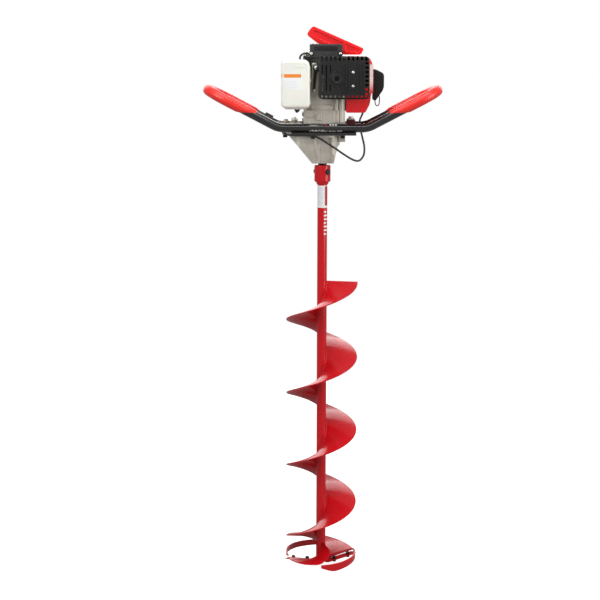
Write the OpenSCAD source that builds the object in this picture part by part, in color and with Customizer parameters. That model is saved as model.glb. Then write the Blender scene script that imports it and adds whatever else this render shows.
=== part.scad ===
// Gas-powered ice fishing auger. Millimetres, +Z up along the auger, -Y is the muffler side.
// The origin is on the auger's spin axis, level with the lower rims of its centering bands.

/* [Auger] */
// Outer diameter of the auger tube
tube_d = 25.4; // [22:0.1:28]
// Wall of the auger tube
tube_wall = 2.4; // [1.5:0.1:3]
// Outer diameter of the helical flight
flight_d = 186; // [170:1:188]
// Thickness of the flight's sheet steel
flight_t = 3; // [2:0.5:4]
// Reach of the blade tips from the axis
cut_r = 102; // [98:1:104]
// Outer diameter of the coupler on top of the tube
coupler_d = 41.5; // [36:0.5:44]
// Diameter of the gearbox output shaft
shaft_d = 22.2; // [20:0.1:22.2]

/* [Handlebar] */
// Outer diameter of the handlebar tube
bar_d = 22.2; // [20:0.1:24]
// Wall of the handlebar tube
bar_wall = 1.6; // [1.2:0.1:2.5]
// Distance between the front and back runs
bar_gap = 110; // [104:1:112]
// Rise of the arms above level, in degrees
arm_rise = 27.5; // [24:0.5:30]
// Thickness of the dipped grip
grip_t = 2.5; // [1.5:0.1:3]
// Distance along each arm at which the dipped grip starts
grip_start = 60; // [50:1:80]

/* [Gearbox] */
// Play at the pitch circle of each gear
backlash = 0.12; // [0.08:0.01:0.16]

/* [Engine] */
// Height of the cylinder's axis
cyl_z = 1262; // [1258:1:1264]
// Bore radius of the cylinder
bore_r = 18; // [16:0.5:19]
// Width of the muffler guard
guard_w = 127; // [120:1:128]
// Height of the muffler guard
guard_h = 106; // [100:1:108]
// Width of the fuel tank
tank_w = 72; // [66:1:72]
// Height of the fuel tank
tank_h = 119; // [110:1:120]

/* [Hidden] */

$fn = 64;
seat = 0.05;            // play where one part sits inside another
run = 0.04;             // radial play of a running fit

tube_r = tube_d / 2;
flight_r = flight_d / 2;
shaft_r = shaft_d / 2;
coupler_top = 1062;
coupler_low = 1012;

// Height of the flight's middle against its turn in degrees, 0 at +X: flatter over the
// head, then an even pitch.
head_steps = [[-348, 16.3], [-334, 22], [-290, 33], [-180, 69], [1080, 756]];
// How far its root stands above its rim: the end of the flight is dished downwards.
head_rise = [[-348, -16], [-300, -8], [-240, 0], [1080, 0]];
// The second flight, in the frame of its own blade: height of its rim, how far its root
// stands above the rim, and its reach.
second_steps = [[12, 16.3], [63, 16.5], [91, 20], [118, 38]];
second_rise = [[12, -17], [30, -15], [63, 2], [91, 16], [118, 12]];
second_reach = [[12, 93], [85, 93], [105, 76], [118, 50]];

// Blades: one straight edge each, skewed from the radius and lowest at its inner end.
blade_at = [18.5, -13, -9.5];
blade_turn = 20;
blade_dip = -11;
blade_tilt = 24;
blade_len = cut_r - 13;
blade_w = 18;
blade_t = 2.5;
fold_offset = 1.5;        // distance from the axis to the line where a holder meets its flight

// Two equal stages of 60 and 12 teeth between the main axis and the idler axis
gear_m = 1.25;
gear_pa = 25;
wheel_n = 60;
pinion_n = 12;
gear_a = gear_m * (wheel_n + pinion_n) / 2;

bar_r = bar_d / 2;
bar_y = bar_gap / 2;
bar_z = 1159.4;
bend_r = 60;
bend_x = 98.3;
arm_x = bend_x + bend_r * sin(arm_rise);
arm_z = bar_z + bend_r * (1 - cos(arm_rise));
arm_len = 131.6;
end_x = arm_x + arm_len * cos(arm_rise);
end_z = arm_z + arm_len * sin(arm_rise);

bolt_turn = -48;        // direction of the coupler's bolt
flange_z = 1139;
plate_z = 1144;
cover_z = 1148.3;
lid_z = 1164;
case_z = 1204;

column_x0 = -45;
column_x1 = 56;
column_y = 40;
crank_top = 1352;
fan_z = 1300;
recoil_z = 1334;

guard_x0 = -12;
guard_z0 = 1233;
guard_y = -100;
guard_depth = 34;
tank_x0 = -105;
tank_z0 = 1211;

// Direction in which the recoil grip pulls, leaning towards +X
pull_lean = 23;

// Route of the control cable, from the carburetor down and round to the throttle clamp
cable_d = 5;
cable_route = [[101, 72, 1285], [110, 71, 1283], [116, 65, 1270], [115, 56, 1242],
    [111, 50, 1216], [106, 47, 1197], [101, 40, 1185], [97, 26, 1178], [95, 10, 1170],
    [96, -4, 1156], [101, -15, 1134], [106, -24, 1110], [104, -34, 1089], [92, -42, 1076],
    [76, -47, 1079], [56, -51, 1091], [34, -55, 1106], [10, -59, 1122], [-10, -61, 1134],
    [-28, -61, 1140], [-50, -59, 1141], [-72, -57, 1141], [-90, -50, 1142],
    [-103, -36, 1149], [-108, -18, 1154], [-108, 0, 1156], [-109, 14, 1157],
    [-112, 25, 1159], [-118, 33, 1162], [-125, 36, 1165.7], [-131.3, 36, 1169]];
lead_route = [[143, 0, 1239], [144.5, 0.4, 1233], [144.5, 1, 1225], [144, 1.5, 1219],
    [142.4, 2, 1214.6], [139, 2.5, 1212.5], [135.6, 3, 1214.6], [134, 3.3, 1219],
    [133, 3.5, 1226.3]];
fuel_route = [[-68, -62, 1204], [-66, -52, 1200], [-61, -38, 1204], [-56, -20, 1214],
    [-54, 2, 1226], [-54, 26, 1238], [-48, 46, 1248], [-28, 56, 1256], [0, 58, 1264],
    [34, 58, 1270], [66, 58, 1270]];
vent_route = [[-58, -66, 1330], [-58, -66, 1337], [-53, -64, 1343], [-43, -57, 1346],
    [-34, -47, 1346]];

// ---------------------------------------------------------------- shape helpers

// Rectangle with true round corners, centred
module round_box_2d(w, h, r) {
    square([w - 2 * r, h], center = true);
    square([w, h - 2 * r], center = true);
    for (x = [-1, 1], y = [-1, 1])
        translate([x * (w / 2 - r), y * (h / 2 - r)]) circle(r);
}

// Stadium around the main axis and the idler axis
module stadium_2d(r) {
    circle(r);
    translate([-gear_a, 0]) circle(r);
    translate([-gear_a, -r]) square([gear_a, 2 * r]);
}

// Outline of the gearbox's inner web
module web_2d(play) {
    circle(39.4 + play);
    translate([-gear_a, 0]) circle(14 + play);
    translate([-gear_a, -14 - play]) square([gear_a, 28 + 2 * play]);
}

module ring_2d(r_out, r_in) {
    difference() {
        circle(r_out);
        circle(r_in);
    }
}

module pipe(r_out, r_in, h) {
    linear_extrude(h) ring_2d(r_out, r_in);
}

// Block with round corners in the front view, between two corners
module soft_block(lo, hi, r) {
    size = hi - lo;
    translate([lo[0] + size[0] / 2, hi[1], lo[2] + size[2] / 2]) rotate([90, 0, 0])
        linear_extrude(size[1]) round_box_2d(size[0], size[2], r);
}

module block(lo, hi) {
    translate(lo) cube([hi[0] - lo[0], hi[1] - lo[1], hi[2] - lo[2]]);
}

// Sheet that winds round the Z axis: rings of four points joined into one closed strip
module wound_sheet(turns, low, high, r_in, r_out) {
    n = len(turns);
    rings = [for (i = [0:n - 1]) let (a = turns[i], c = cos(a), s = sin(a)) each [
        [r_in[i] * c, r_in[i] * s, low[i][0]],
        [r_out[i] * c, r_out[i] * s, low[i][1]],
        [r_out[i] * c, r_out[i] * s, high[i][1]],
        [r_in[i] * c, r_in[i] * s, high[i][0]]]];
    sides = [for (i = [0:n - 2], k = [0:3]) let (m = (k + 1) % 4) each [
        [4 * i + k, 4 * i + m, 4 * i + 4 + m],
        [4 * i + k, 4 * i + 4 + m, 4 * i + 4 + k]]];
    last = 4 * n - 4;
    ends = [[2, 1, 0], [3, 2, 0], [last, last + 1, last + 2], [last, last + 2, last + 3]];
    polyhedron(rings, concat(sides, ends), convexity = 12);
}

// Upright thickness that keeps a sheet's true thickness at radius r
function sheet_rise(t, slope, r) = t * sqrt(1 + pow(slope * 180 / PI / r, 2));

// Smooth tube along hand-set points
function spline(p, i, t) = let (
    n = len(p) - 1,
    a = p[max(i - 1, 0)], b = p[i], c = p[min(i + 1, n)], d = p[min(i + 2, n)])
    0.5 * (2 * b + (c - a) * t + (2 * a - 5 * b + 4 * c - d) * t * t
        + (3 * b - a - 3 * c + d) * t * t * t);
function unit(v) = v / norm(v);
module swept_tube(route, d, per_span, sides) {
    n = len(route) - 1;
    path = concat([for (i = [0:n - 1], k = [0:per_span - 1]) spline(route, i, k / per_span)],
        [route[n]]);
    m = len(path);
    rings = [for (i = [0:m - 1]) let (
        dir = unit(path[min(i + 1, m - 1)] - path[max(i - 1, 0)]),
        u = unit(cross(dir, abs(dir[1]) > 0.9 ? [1, 0, 0] : [0, 1, 0])),
        v = cross(dir, u))
        each [for (k = [0:sides - 1])
            path[i] + d / 2 * (cos(360 * k / sides) * u + sin(360 * k / sides) * v)]];
    walls = [for (i = [0:m - 2], k = [0:sides - 1]) let (q = (k + 1) % sides)
        [sides * i + k, sides * i + sides + k, sides * i + sides + q, sides * i + q]];
    caps = [[for (k = [0:sides - 1]) k],
        [for (k = [sides - 1:-1:0]) sides * (m - 1) + k]];
    polyhedron(rings, concat(walls, caps), convexity = 8);
}

// Involute gear outline
function involute(a) = tan(a) * 180 / PI - a;
module gear_2d(n, extra) {
    rp = gear_m * n / 2;
    rb = rp * cos(gear_pa);
    ra = rp + gear_m - 0.1;
    rf = rp - 1.25 * gear_m - extra;
    half = 90 / n - backlash / 2 / rp * 180 / PI + involute(gear_pa);
    r0 = max(rb, rf);
    radii = [for (k = [0:3]) r0 + (ra - r0) * k / 3];
    angle = [for (r = radii) half - involute(acos(min(1, rb / r)))];
    outline = [for (t = [0:n - 1]) let (c = 360 * t / n) each concat(
        [rf * [cos(c - angle[0] - 0.2), sin(c - angle[0] - 0.2)]],
        [for (k = [0:3]) radii[k] * [cos(c - angle[k]), sin(c - angle[k])]],
        [for (k = [3:-1:0]) radii[k] * [cos(c + angle[k]), sin(c + angle[k])]],
        [rf * [cos(c + angle[0] + 0.2), sin(c + angle[0] + 0.2)]])];
    polygon(outline);
}

// ---------------------------------------------------------------- auger

module auger_tube() {
    color("firebrick") translate([0, 0, 12])
        pipe(tube_r, tube_r - tube_wall, coupler_low + 8 - 12);
}

// Reach of a flight at a turn, measured in the frame of its blade: cut off along the fold
function fold_reach(a, r) = a >= blade_turn - asin(fold_offset / r) ? r
    : min(r, fold_offset / sin(blade_turn - a));

// Radial sheet along the turns a0 to a1; lead is the turn at which its blade frame starts
module flight_sheet(steps, rises, reach, a0, a1, step, lead, t) {
    turns = [for (a = [a0:step:a1]) a];
    n = len(turns) - 1;
    base = [for (a = turns) lookup(a, steps)];
    rise = [for (a = turns) lookup(a, rises)];
    slope = [for (i = [0:n]) (base[min(i + 1, n)] - base[max(i - 1, 0)])
        / (turns[min(i + 1, n)] - turns[max(i - 1, 0)])];
    r_in = tube_r + 0.1;
    r_out = [for (a = turns) max(r_in + 0.3, fold_reach(a - lead, lookup(a, reach)))];
    span = flight_r - r_in;
    low = [for (i = [0:n]) [
        base[i] + rise[i] - sheet_rise(t, slope[i], r_in) / 2,
        base[i] + rise[i] * (flight_r - r_out[i]) / span
            - sheet_rise(t, slope[i], r_out[i]) / 2]];
    high = [for (i = [0:n]) [
        base[i] + rise[i] + sheet_rise(t, slope[i], r_in) / 2,
        base[i] + rise[i] * (flight_r - r_out[i]) / span
            + sheet_rise(t, slope[i], r_out[i]) / 2]];
    wound_sheet(turns, low, high, [for (a = turns) r_in], r_out);
}

module auger_flight() {
    color("firebrick") flight_sheet(head_steps, head_rise,
        [[-348, flight_r], [1080, flight_r]], -348, 1080, 4, -360, flight_t);
}

module second_flight() {
    color("firebrick") rotate([0, 0, 180])
        flight_sheet(second_steps, second_rise, second_reach, 12, 116, 4, 0, flight_t);
}

// Blade frame: x along the edge, y up the blade's slope, z out of its upper face
module blade_frame(turn) {
    rotate([0, 0, turn]) translate(blade_at) rotate([0, blade_dip, blade_turn])
        rotate([blade_tilt, 0, 0]) children();
}

blade_bolt_x = [24, 64];
module blade_shape() {
    difference() {
        linear_extrude(blade_t) polygon([[0, 3], [6, 0], [blade_len - 6, 0], [blade_len, 2],
            [blade_len - 4, blade_w], [4, blade_w]]);
        translate([-5, -5, 0]) rotate([32, 0, 0]) translate([0, 0, -20])
            cube([blade_len + 10, 12, 20]);
        for (x = blade_bolt_x) translate([x, 11.5, -1]) cylinder(d = 6.6, h = 6);
    }
}

module ice_blades() {
    color("gainsboro") for (turn = [0, 180]) blade_frame(turn) blade_shape();
}

// Sloped plates that carry the blades
module blade_holders() {
    color("firebrick") difference() {
        for (turn = [0, 180]) blade_frame(turn) translate([0, 0, blade_t + 0.02]) difference() {
            linear_extrude(3) polygon([[-6, 12], [4, 5], [blade_len - 8, 5],
                [blade_len - 11, 17.5], [-6, 17.5]]);
            for (x = blade_bolt_x) translate([x, 11.5, -1]) cylinder(d = 6.6, h = 12);
        }
        translate([0, 0, -30]) cylinder(r = tube_r + 0.1, h = 100);
    }
}

// Bands ahead of the blades that keep the auger from wandering. Each stays under its blade
// and then rises over the blade's end to the rim of the flight.
band_turns = [for (a = [-90:6:-12]) a, -6, 0, 4, 7, 12, 18];
module centering_bands() {
    color("firebrick") {
        band([[-90, 9], [-70, -2], [-12, 9], [4, 12], [7, 19.5], [18, 20]],
            [[-90, 17], [-12, 26], [18, 25]]);
        rotate([0, 0, 180]) band([[-90, 12], [-60, 12], [-12, 15], [4, 15], [7, 19.5], [18, 20]],
            [[-90, 27], [-12, 30], [18, 25]]);
    }
}
module band(low_steps, high_steps) {
    low = [for (a = band_turns) let (z = lookup(a, low_steps)) [z, z]];
    high = [for (a = band_turns) let (z = lookup(a, high_steps)) [z, z]];
    wound_sheet(band_turns, low, high, [for (a = band_turns) flight_r - 3],
        [for (a = band_turns) flight_r]);
}

module blade_bolts() {
    color("dimgray") for (turn = [0, 180], x = blade_bolt_x) blade_frame(turn) {
        translate([x, 11.5, blade_t + 3.1]) cylinder(d = 11, h = 5, $fn = 6);
        translate([x, 11.5, -2.9]) cylinder(d = 6.2, h = 15);
        translate([x, 11.5, -3]) cylinder(d = 11, h = 2.9);
    }
}

point_z = -12;
module centre_point() {
    color("dimgray") {
        translate([0, 0, 10]) cylinder(r = tube_r - tube_wall - 0.1, h = 22);
        translate([0, 0, point_z]) cylinder(r1 = 1.5, r2 = tube_r - tube_wall - 0.1, h = 22.01);
        rotate([0, 0, 105]) translate([-14, -1.5, -6]) cube([28, 3, 15]);
    }
}

module coupler() {
    color("firebrick") difference() {
        rotate_extrude() polygon([[tube_r + seat, coupler_low], [15, coupler_low],
            [16, coupler_low + 6], [coupler_d / 2 - 2, coupler_low + 6],
            [coupler_d / 2, coupler_low + 8], [coupler_d / 2, coupler_top - 2],
            [coupler_d / 2 - 2, coupler_top], [shaft_r + run, coupler_top],
            [shaft_r + run, coupler_low + 10], [tube_r + seat, coupler_low + 8.2]]);
        cross_hole(8.4);
        rotate([0, 0, bolt_turn]) translate([coupler_d / 2 - 3, 0, coupler_top - 18])
            rotate([0, 90, 0]) cylinder(d = 15, h = 6);
    }
}

module cross_hole(d) {
    rotate([0, 0, bolt_turn]) translate([-30, 0, coupler_top - 18])
        rotate([0, 90, 0]) cylinder(d = d, h = 60);
}

module coupler_bolt() {
    color("dimgray") rotate([0, 0, bolt_turn]) translate([0, 0, coupler_top - 18])
        rotate([0, 90, 0]) {
        translate([0, 0, -coupler_d / 2 - 1]) cylinder(d = 8, h = coupler_d - 1.5);
        translate([0, 0, coupler_d / 2 - 2.9]) cylinder(d = 12.7 / cos(30), h = 5, $fn = 6);
        translate([0, 0, -coupler_d / 2 - 6.6]) cylinder(d = 12.7 / cos(30), h = 6.5, $fn = 6);
    }
}

module output_shaft() {
    color("dimgray") difference() {
        union() {
            translate([0, 0, 1023]) cylinder(r = shaft_r, h = 1128 - 1023);
            translate([0, 0, 1127.9]) cylinder(r = 7.5, h = 10.1);
        }
        cross_hole(8.4);
    }
}

module output_gear() {
    color("silver") translate([0, 0, 1116]) difference() {
        union() {
            linear_extrude(9) gear_2d(wheel_n, 0);
            translate([0, 0, -3]) cylinder(r = 17, h = 15);
        }
        translate([0, 0, -5]) cylinder(r = shaft_r + 0.02, h = 20);
        for (a = [0:60:300]) rotate([0, 0, a + 30]) translate([26, 0, -1]) cylinder(r = 6, h = 12);
    }
}

module idler_gears() {
    color("silver") translate([-gear_a, 0, 0]) {
        translate([0, 0, 1114]) rotate([0, 0, 15]) linear_extrude(16) gear_2d(pinion_n, 0.1);
        translate([0, 0, 1146]) linear_extrude(8) gear_2d(wheel_n, 0);
        translate([0, 0, 1105]) cylinder(r = 5, h = 57);
        translate([0, 0, 1139.8]) cylinder(r = 8, h = 6.3);
    }
}

// ---------------------------------------------------------------- clutch and crank

module drum_pinion() {
    color("silver") {
        translate([0, 0, 1145.5]) rotate([0, 0, 15]) linear_extrude(9.5) gear_2d(pinion_n, 0.1);
        translate([0, 0, 1154.9]) cylinder(r = 7.5, h = 13.2);
        translate([0, 0, 1168]) difference() {
            cylinder(r = 36, h = 24);
            translate([0, 0, 2.5]) cylinder(r = 33, h = 30);
        }
    }
}

module clutch_shoe(turn) {
    color("gray") rotate([0, 0, turn]) translate([0, 0, 1173]) linear_extrude(15) difference() {
        intersection() {
            ring_2d(31.5, 13);
            translate([-40, 2]) square([80, 40]);
        }
        translate([0, 24]) circle(4);
    }
}
module clutch_shoe_a() { clutch_shoe(0); }
module clutch_shoe_b() { clutch_shoe(180); }

module crankshaft() {
    color("silver") {
        translate([0, 0, 1172]) cylinder(r = 7.5, h = 1245 - 1172);
        translate([0, 0, 1172.5]) cylinder(r = 12, h = 16);
        for (z = [1242, 1272]) translate([0, 0, z]) difference() {
            cylinder(r = 29, h = 8);
            translate([12, -30, -1]) cube([20, 18, 10]);
            translate([12, 12, -1]) cube([20, 18, 10]);
        }
        translate([14, 0, 1249]) cylinder(r = 6, h = 24);
        translate([0, 0, 1279]) cylinder(r = 7.5, h = crank_top - 1279 - 12);
    }
}

module flywheel_fan() {
    color("silver") translate([0, 0, fan_z + 3]) difference() {
        union() {
            cylinder(r = 40, h = 9);
            cylinder(r = 14, h = 24);
            for (a = [0:22.5:350]) rotate([0, 0, a]) translate([22, -1, 8])
                rotate([0, 0, 14]) cube([22, 2, 14]);
        }
        translate([0, 0, -1]) cylinder(r = 7.5 + 0.02, h = 30);
    }
}

// ---------------------------------------------------------------- gearbox

ear_bolts = [[-96, 0], [-71, 43], [-25, -49], [-25, 49], [51, -34], [51, 34]];

module flange_2d() {
    circle(r = 52);
    translate([-gear_a, 0]) circle(r = 47);
    translate([-gear_a, -47]) square([gear_a, 94]);
    translate([-gear_a, -14]) square([102, 28]);
    translate([-104 + 10, 0]) circle(10);
    translate([-94, -10]) square([50, 20]);
    translate([20, -41]) square([38, 82]);
    for (p = ear_bolts) translate(p) circle(8);
}

nose_z = 1067;
case_front = [[-27, nose_z], [28, nose_z], [38, 1110], [57, 1124], [57, 1142], [-91, 1142],
    [-64, 1113]];
case_side = [[-26, nose_z], [26, nose_z], [44, 1112], [44, 1142], [-44, 1142], [-44, 1112]];
module gearbox_housing() {
    color("darkgray") difference() {
        union() {
            translate([0, 0, flange_z]) linear_extrude(plate_z - flange_z) flange_2d();
            intersection() {
                translate([0, 0, nose_z]) linear_extrude(flange_z - nose_z + 1) stadium_2d(44);
                translate([0, 60, 0]) rotate([90, 0, 0]) linear_extrude(120) polygon(case_front);
                translate([-100, 0, 0]) rotate([90, 0, 90]) linear_extrude(200)
                    polygon(case_side);
            }
            for (y = [-1, 1]) translate([-12, y * 28 - 2.5, 1069]) rotate([y * -20, 0, 0])
                cube([5, 5, 46]);
            block([40, -24, 1122], [57, 24, flange_z + 0.5]);
        }
        translate([0, 0, 1112]) cylinder(r = 39.5, h = 33);
        translate([0, 0, 1128]) linear_extrude(20) web_2d(0.1);
        translate([0, 0, flange_z]) linear_extrude(20) stadium_2d(39.5);
        translate([-gear_a, 0, 1112]) cylinder(r = 11, h = 20);
        translate([-gear_a, -11, 1112]) cube([20, 22, 20]);
        translate([-gear_a, 0, 1104]) cylinder(r = 11, h = 10);
        translate([0, 0, 1074]) cylinder(r = 21, h = 12);
        translate([0, 0, 1085]) cylinder(r = 18, h = 30);
        translate([0, 0, 1060]) cylinder(r = 17, h = 30);
        for (p = ear_bolts) translate([p[0], p[1], flange_z - 1]) cylinder(d = 6.4, h = 8);
    }
}

module gearbox_bolts() {
    color("dimgray") for (p = ear_bolts) translate([p[0], p[1], flange_z]) {
        translate([0, 0, -7]) cylinder(d = 10 / cos(30), h = 6.9, $fn = 6);
        translate([0, 0, -0.2]) cylinder(d = 6, h = p[0] < -90 ? 14 : 9.3);
    }
}

module gearbox_cover() {
    color("darkgray") difference() {
        union() {
            translate([0, 0, plate_z]) linear_extrude(lid_z - plate_z) stadium_2d(43.3);
            translate([0, 0, plate_z]) linear_extrude(10) {
                translate([-94, 0]) circle(10);
                translate([-94, -10]) square([20, 20]);
            }
        }
        translate([0, 0, plate_z - 1]) linear_extrude(13) stadium_2d(39.5);
        translate([0, 0, 1150]) cylinder(r = 16, h = 20);
        translate([-gear_a, 0, 1150]) cylinder(r = 11, h = 12);
        translate([-96, 0, plate_z - 1]) cylinder(d = 6.4, h = 14);
    }
}

module bearing(r_in, r_out, h) {
    pipe(r_out - seat, r_in, h);
}

module gear_bearings() {
    color("lightsteelblue") {
        translate([0, 0, 1074.1]) bearing(shaft_r + run, 21, 11.8);
        translate([0, 0, 1128.6]) difference() {
            linear_extrude(9.4) web_2d(0);
            translate([0, 0, -1]) cylinder(r = 7.5 + run, h = 12);
            translate([-gear_a, 0, -1]) cylinder(r = 9.4, h = 12);
        }
        translate([-gear_a, 0, 1104.1]) bearing(5 + run, 11, 7.8);
        translate([-gear_a, 0, 1156.2]) bearing(5 + run, 11, 5.5);
        translate([0, 0, 1156]) bearing(7.5 + run, 16, 7.9);
    }
}

module oil_seal() {
    color("black") translate([0, 0, 1068]) pipe(17 - seat, shaft_r + run, 5.8);
}

// ---------------------------------------------------------------- handlebar

// One quarter of the loop as a pipe of the given radii, front right
module loop_quarter(r_out, r_in) {
    translate([0, -bar_y, bar_z]) rotate([0, 90, 0]) pipe(r_out, r_in, bend_x);
    translate([bend_x, -bar_y, bar_z + bend_r]) rotate([90, 0, 0]) rotate([0, 0, -90])
        rotate_extrude(angle = arm_rise) translate([bend_r, 0]) ring_2d(r_out, r_in);
    arm_quarter(r_out, r_in, 0);
}

// The arm from a distance along it, with its share of the end bend
module arm_quarter(r_out, r_in, from) {
    translate([arm_x, -bar_y, arm_z]) rotate([0, 90 - arm_rise, 0]) translate([0, 0, from])
        pipe(r_out, r_in, arm_len - from);
    translate([end_x, 0, end_z]) rotate([0, -arm_rise, 0]) rotate([0, 0, -90])
        rotate_extrude(angle = 90) translate([bar_y, 0]) ring_2d(r_out, r_in);
}

module handlebar_loop() {
    color("black") for (m = [0, 1], k = [0, 1]) mirror([m, 0, 0]) mirror([0, k, 0])
        loop_quarter(bar_r, bar_r - bar_wall);
}

module dipped_grip(side) {
    color("red") for (k = [0, 1]) mirror([side, 0, 0]) mirror([0, k, 0])
        arm_quarter(bar_r + grip_t, bar_r + seat, grip_start);
}
module left_grip() { dipped_grip(1); }
module right_grip() { dipped_grip(0); }

module handlebar_plate() {
    color("black") difference() {
        union() {
            translate([-80, -68, plate_z]) cube([164, 136, bar_z - bar_r - plate_z - 0.02]);
            for (y = [-68, 65]) translate([-80, y, plate_z - 3]) cube([164, 3, 3.01]);
        }
        translate([0, 0, plate_z - 1]) linear_extrude(10) stadium_2d(43.6);
        translate([-90, -30, plate_z - 1]) cube([20, 60, 10]);
        for (p = ear_bolts) translate([p[0], p[1], plate_z - 5]) cylinder(d = 6.4, h = 12);
    }
}

// Block that clamps the power head to the plate, with its bolts, and the spacers opposite
module handlebar_blocks() {
    color("maroon") {
        block([61, -18, cover_z + 0.1], [83, 18, 1178]);
        for (y = [-9, 9]) translate([72, y, 1178]) cylinder(d = 13, h = 3);
        for (y = [-9, 9]) translate([72, y, 1180.9]) cylinder(d = 10 / cos(30), h = 5, $fn = 6);
        for (p = [[-94, 0, 1154.1, 22], [-72, 22, 1164.1, 14], [-72, -22, 1164.1, 14]])
            translate([p[0], p[1], p[2]]) cylinder(d = 11, h = p[3]);
    }
}

// ---------------------------------------------------------------- engine castings

module clutch_housing() {
    color("darkgray") difference() {
        union() {
            block([column_x0 - 4, -column_y - 3, lid_z], [column_x1, column_y + 3, case_z]);
            block([-20, -column_y - 6, 1180], [-4, -column_y, 1194]);
            for (x = [26, 36]) block([x, -column_y - 7, 1172], [x + 4, -column_y, case_z]);
        }
        translate([0, 0, lid_z - 1]) cylinder(r = 37.5, h = 33);
        translate([0, 0, lid_z]) cylinder(r = 9, h = 60);
    }
}

module crankcase() {
    color("darkgray") difference() {
        union() {
            block([column_x0, -column_y, case_z], [column_x1, column_y, fan_z]);
            block([-30, -column_y - 5, case_z], [24, -column_y, 1216]);
            for (z = [1222, 1244, 1268]) block([column_x0 - 3, -30, z], [column_x0, 30, z + 4]);
        }
        translate([0, 0, 1236]) cylinder(r = 33, h = 48);
        translate([0, 0, case_z - 1]) cylinder(r = 9, h = 120);
        translate([0, 0, 1208]) cylinder(r = 16, h = 9);
        translate([0, 0, 1288]) cylinder(r = 16, h = 13);
        translate([20, 0, cyl_z]) rotate([0, 90, 0]) cylinder(r = bore_r + 2, h = 50);
    }
}

module crank_bearings() {
    color("lightsteelblue") for (z = [1208.1, 1288.1]) translate([0, 0, z])
        bearing(7.5 + run, 16, 8.8);
}

module engine_cylinder() {
    color("silver") difference() {
        union() {
            translate([column_x1 + 0.05, 0, cyl_z]) rotate([0, 90, 0]) cylinder(r = 23, h = 58);
            for (k = [0:7]) translate([column_x1 + 4 + 7 * k, -35, cyl_z - 38]) cube([2.2, 70, 76]);
            translate([column_x1 + 0.05, -30, cyl_z - 30]) cube([4.5, 60, 60]);
            block([72, -41.9, cyl_z + 4], [104, -20, cyl_z + 34]);
            block([66, 20, cyl_z - 18], [102, 40.9, cyl_z + 10]);
        }
        translate([column_x1 - 1, 0, cyl_z]) rotate([0, 90, 0]) cylinder(r = bore_r, h = 54);
        translate([100, 0, cyl_z]) rotate([0, 90, 0]) cylinder(d = 14.2, h = 30);
        translate([88, -60, cyl_z + 19]) rotate([-90, 0, 0]) cylinder(r = 8, h = 50);
        translate([84, 10, cyl_z - 4]) rotate([-90, 0, 0]) cylinder(r = 8, h = 50);
    }
}

module piston() {
    color("silver") translate([66, 0, cyl_z]) rotate([0, 90, 0]) difference() {
        cylinder(r = bore_r - 0.06, h = 26);
        translate([0, 0, -1]) cylinder(r = bore_r - 4, h = 22);
        for (h = [17, 21]) translate([0, 0, h]) pipe(bore_r + 1, bore_r - 1, 1.4);
        translate([-30, 0, 10]) rotate([0, 90, 0]) cylinder(d = 9, h = 60);
    }
}

module spark_plug() {
    color("white") translate([110.5, 0, cyl_z]) rotate([0, 90, 0]) {
        cylinder(d = 14, h = 4);
        translate([0, 0, 3.7]) cylinder(d = 19 / cos(30), h = 8, $fn = 6);
        translate([0, 0, 11.6]) cylinder(d = 11, h = 16);
    }
}

plug_cover_side = [[126.5, 1228], [134, 1226], [152, 1252], [155, 1262], [155, 1290],
    [152, 1296], [134, 1305], [126.5, 1305]];
module plug_cover() {
    color("black") difference() {
        translate([0, 17, 0]) rotate([90, 0, 0]) linear_extrude(34) polygon(plug_cover_side);
        translate([126, 14, 0]) rotate([90, 0, 0]) linear_extrude(28)
            polygon([[-1, 1240], [6, 1240], [22, 1258], [24, 1290], [8, 1298], [-1, 1298]]);
    }
}

module plug_lead() {
    color("black") swept_tube(lead_route, 2.5, 4, 8);
}

shroud_side = [[58, 1196], [107, 1196], [118, 1218], [121, 1238], [126, 1262], [126, 1300],
    [124, 1322], [117, 1334], [108, 1338], [58, 1338]];
shroud_core = [[57, 1199], [105.3, 1199], [115.2, 1219], [118, 1239], [123, 1262.5],
    [123, 1299], [121, 1320], [115, 1331], [107, 1335], [57, 1335]];
module cylinder_shroud() {
    color("red") difference() {
        translate([0, 43, 0]) rotate([90, 0, 0]) linear_extrude(86) polygon(shroud_side);
        translate([0, 40, 0]) rotate([90, 0, 0]) linear_extrude(80) polygon(shroud_core);
        block([68, -50, cyl_z], [112, -38, cyl_z + 42]);
        block([62, 38, cyl_z - 24], [108, 50, cyl_z + 16]);
        translate([100, 0, cyl_z]) rotate([0, 90, 0]) cylinder(r = 12.5, h = 40);
    }
}

// ---------------------------------------------------------------- muffler and guard

module muffler() {
    color("dimgray") difference() {
        union() {
            block([6, -93, 1244], [100, -52, 1328]);
            block([72, -52.1, cyl_z + 4], [104, -42, cyl_z + 34]);
        }
        block([8, -91, 1246], [98, -54, 1326]);
        translate([88, -60, cyl_z + 19]) rotate([-90, 0, 0]) cylinder(r = 8, h = 30);
        translate([30, -60, 1256]) rotate([-90, 0, 0]) cylinder(r = 5, h = 12);
    }
}

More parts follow.
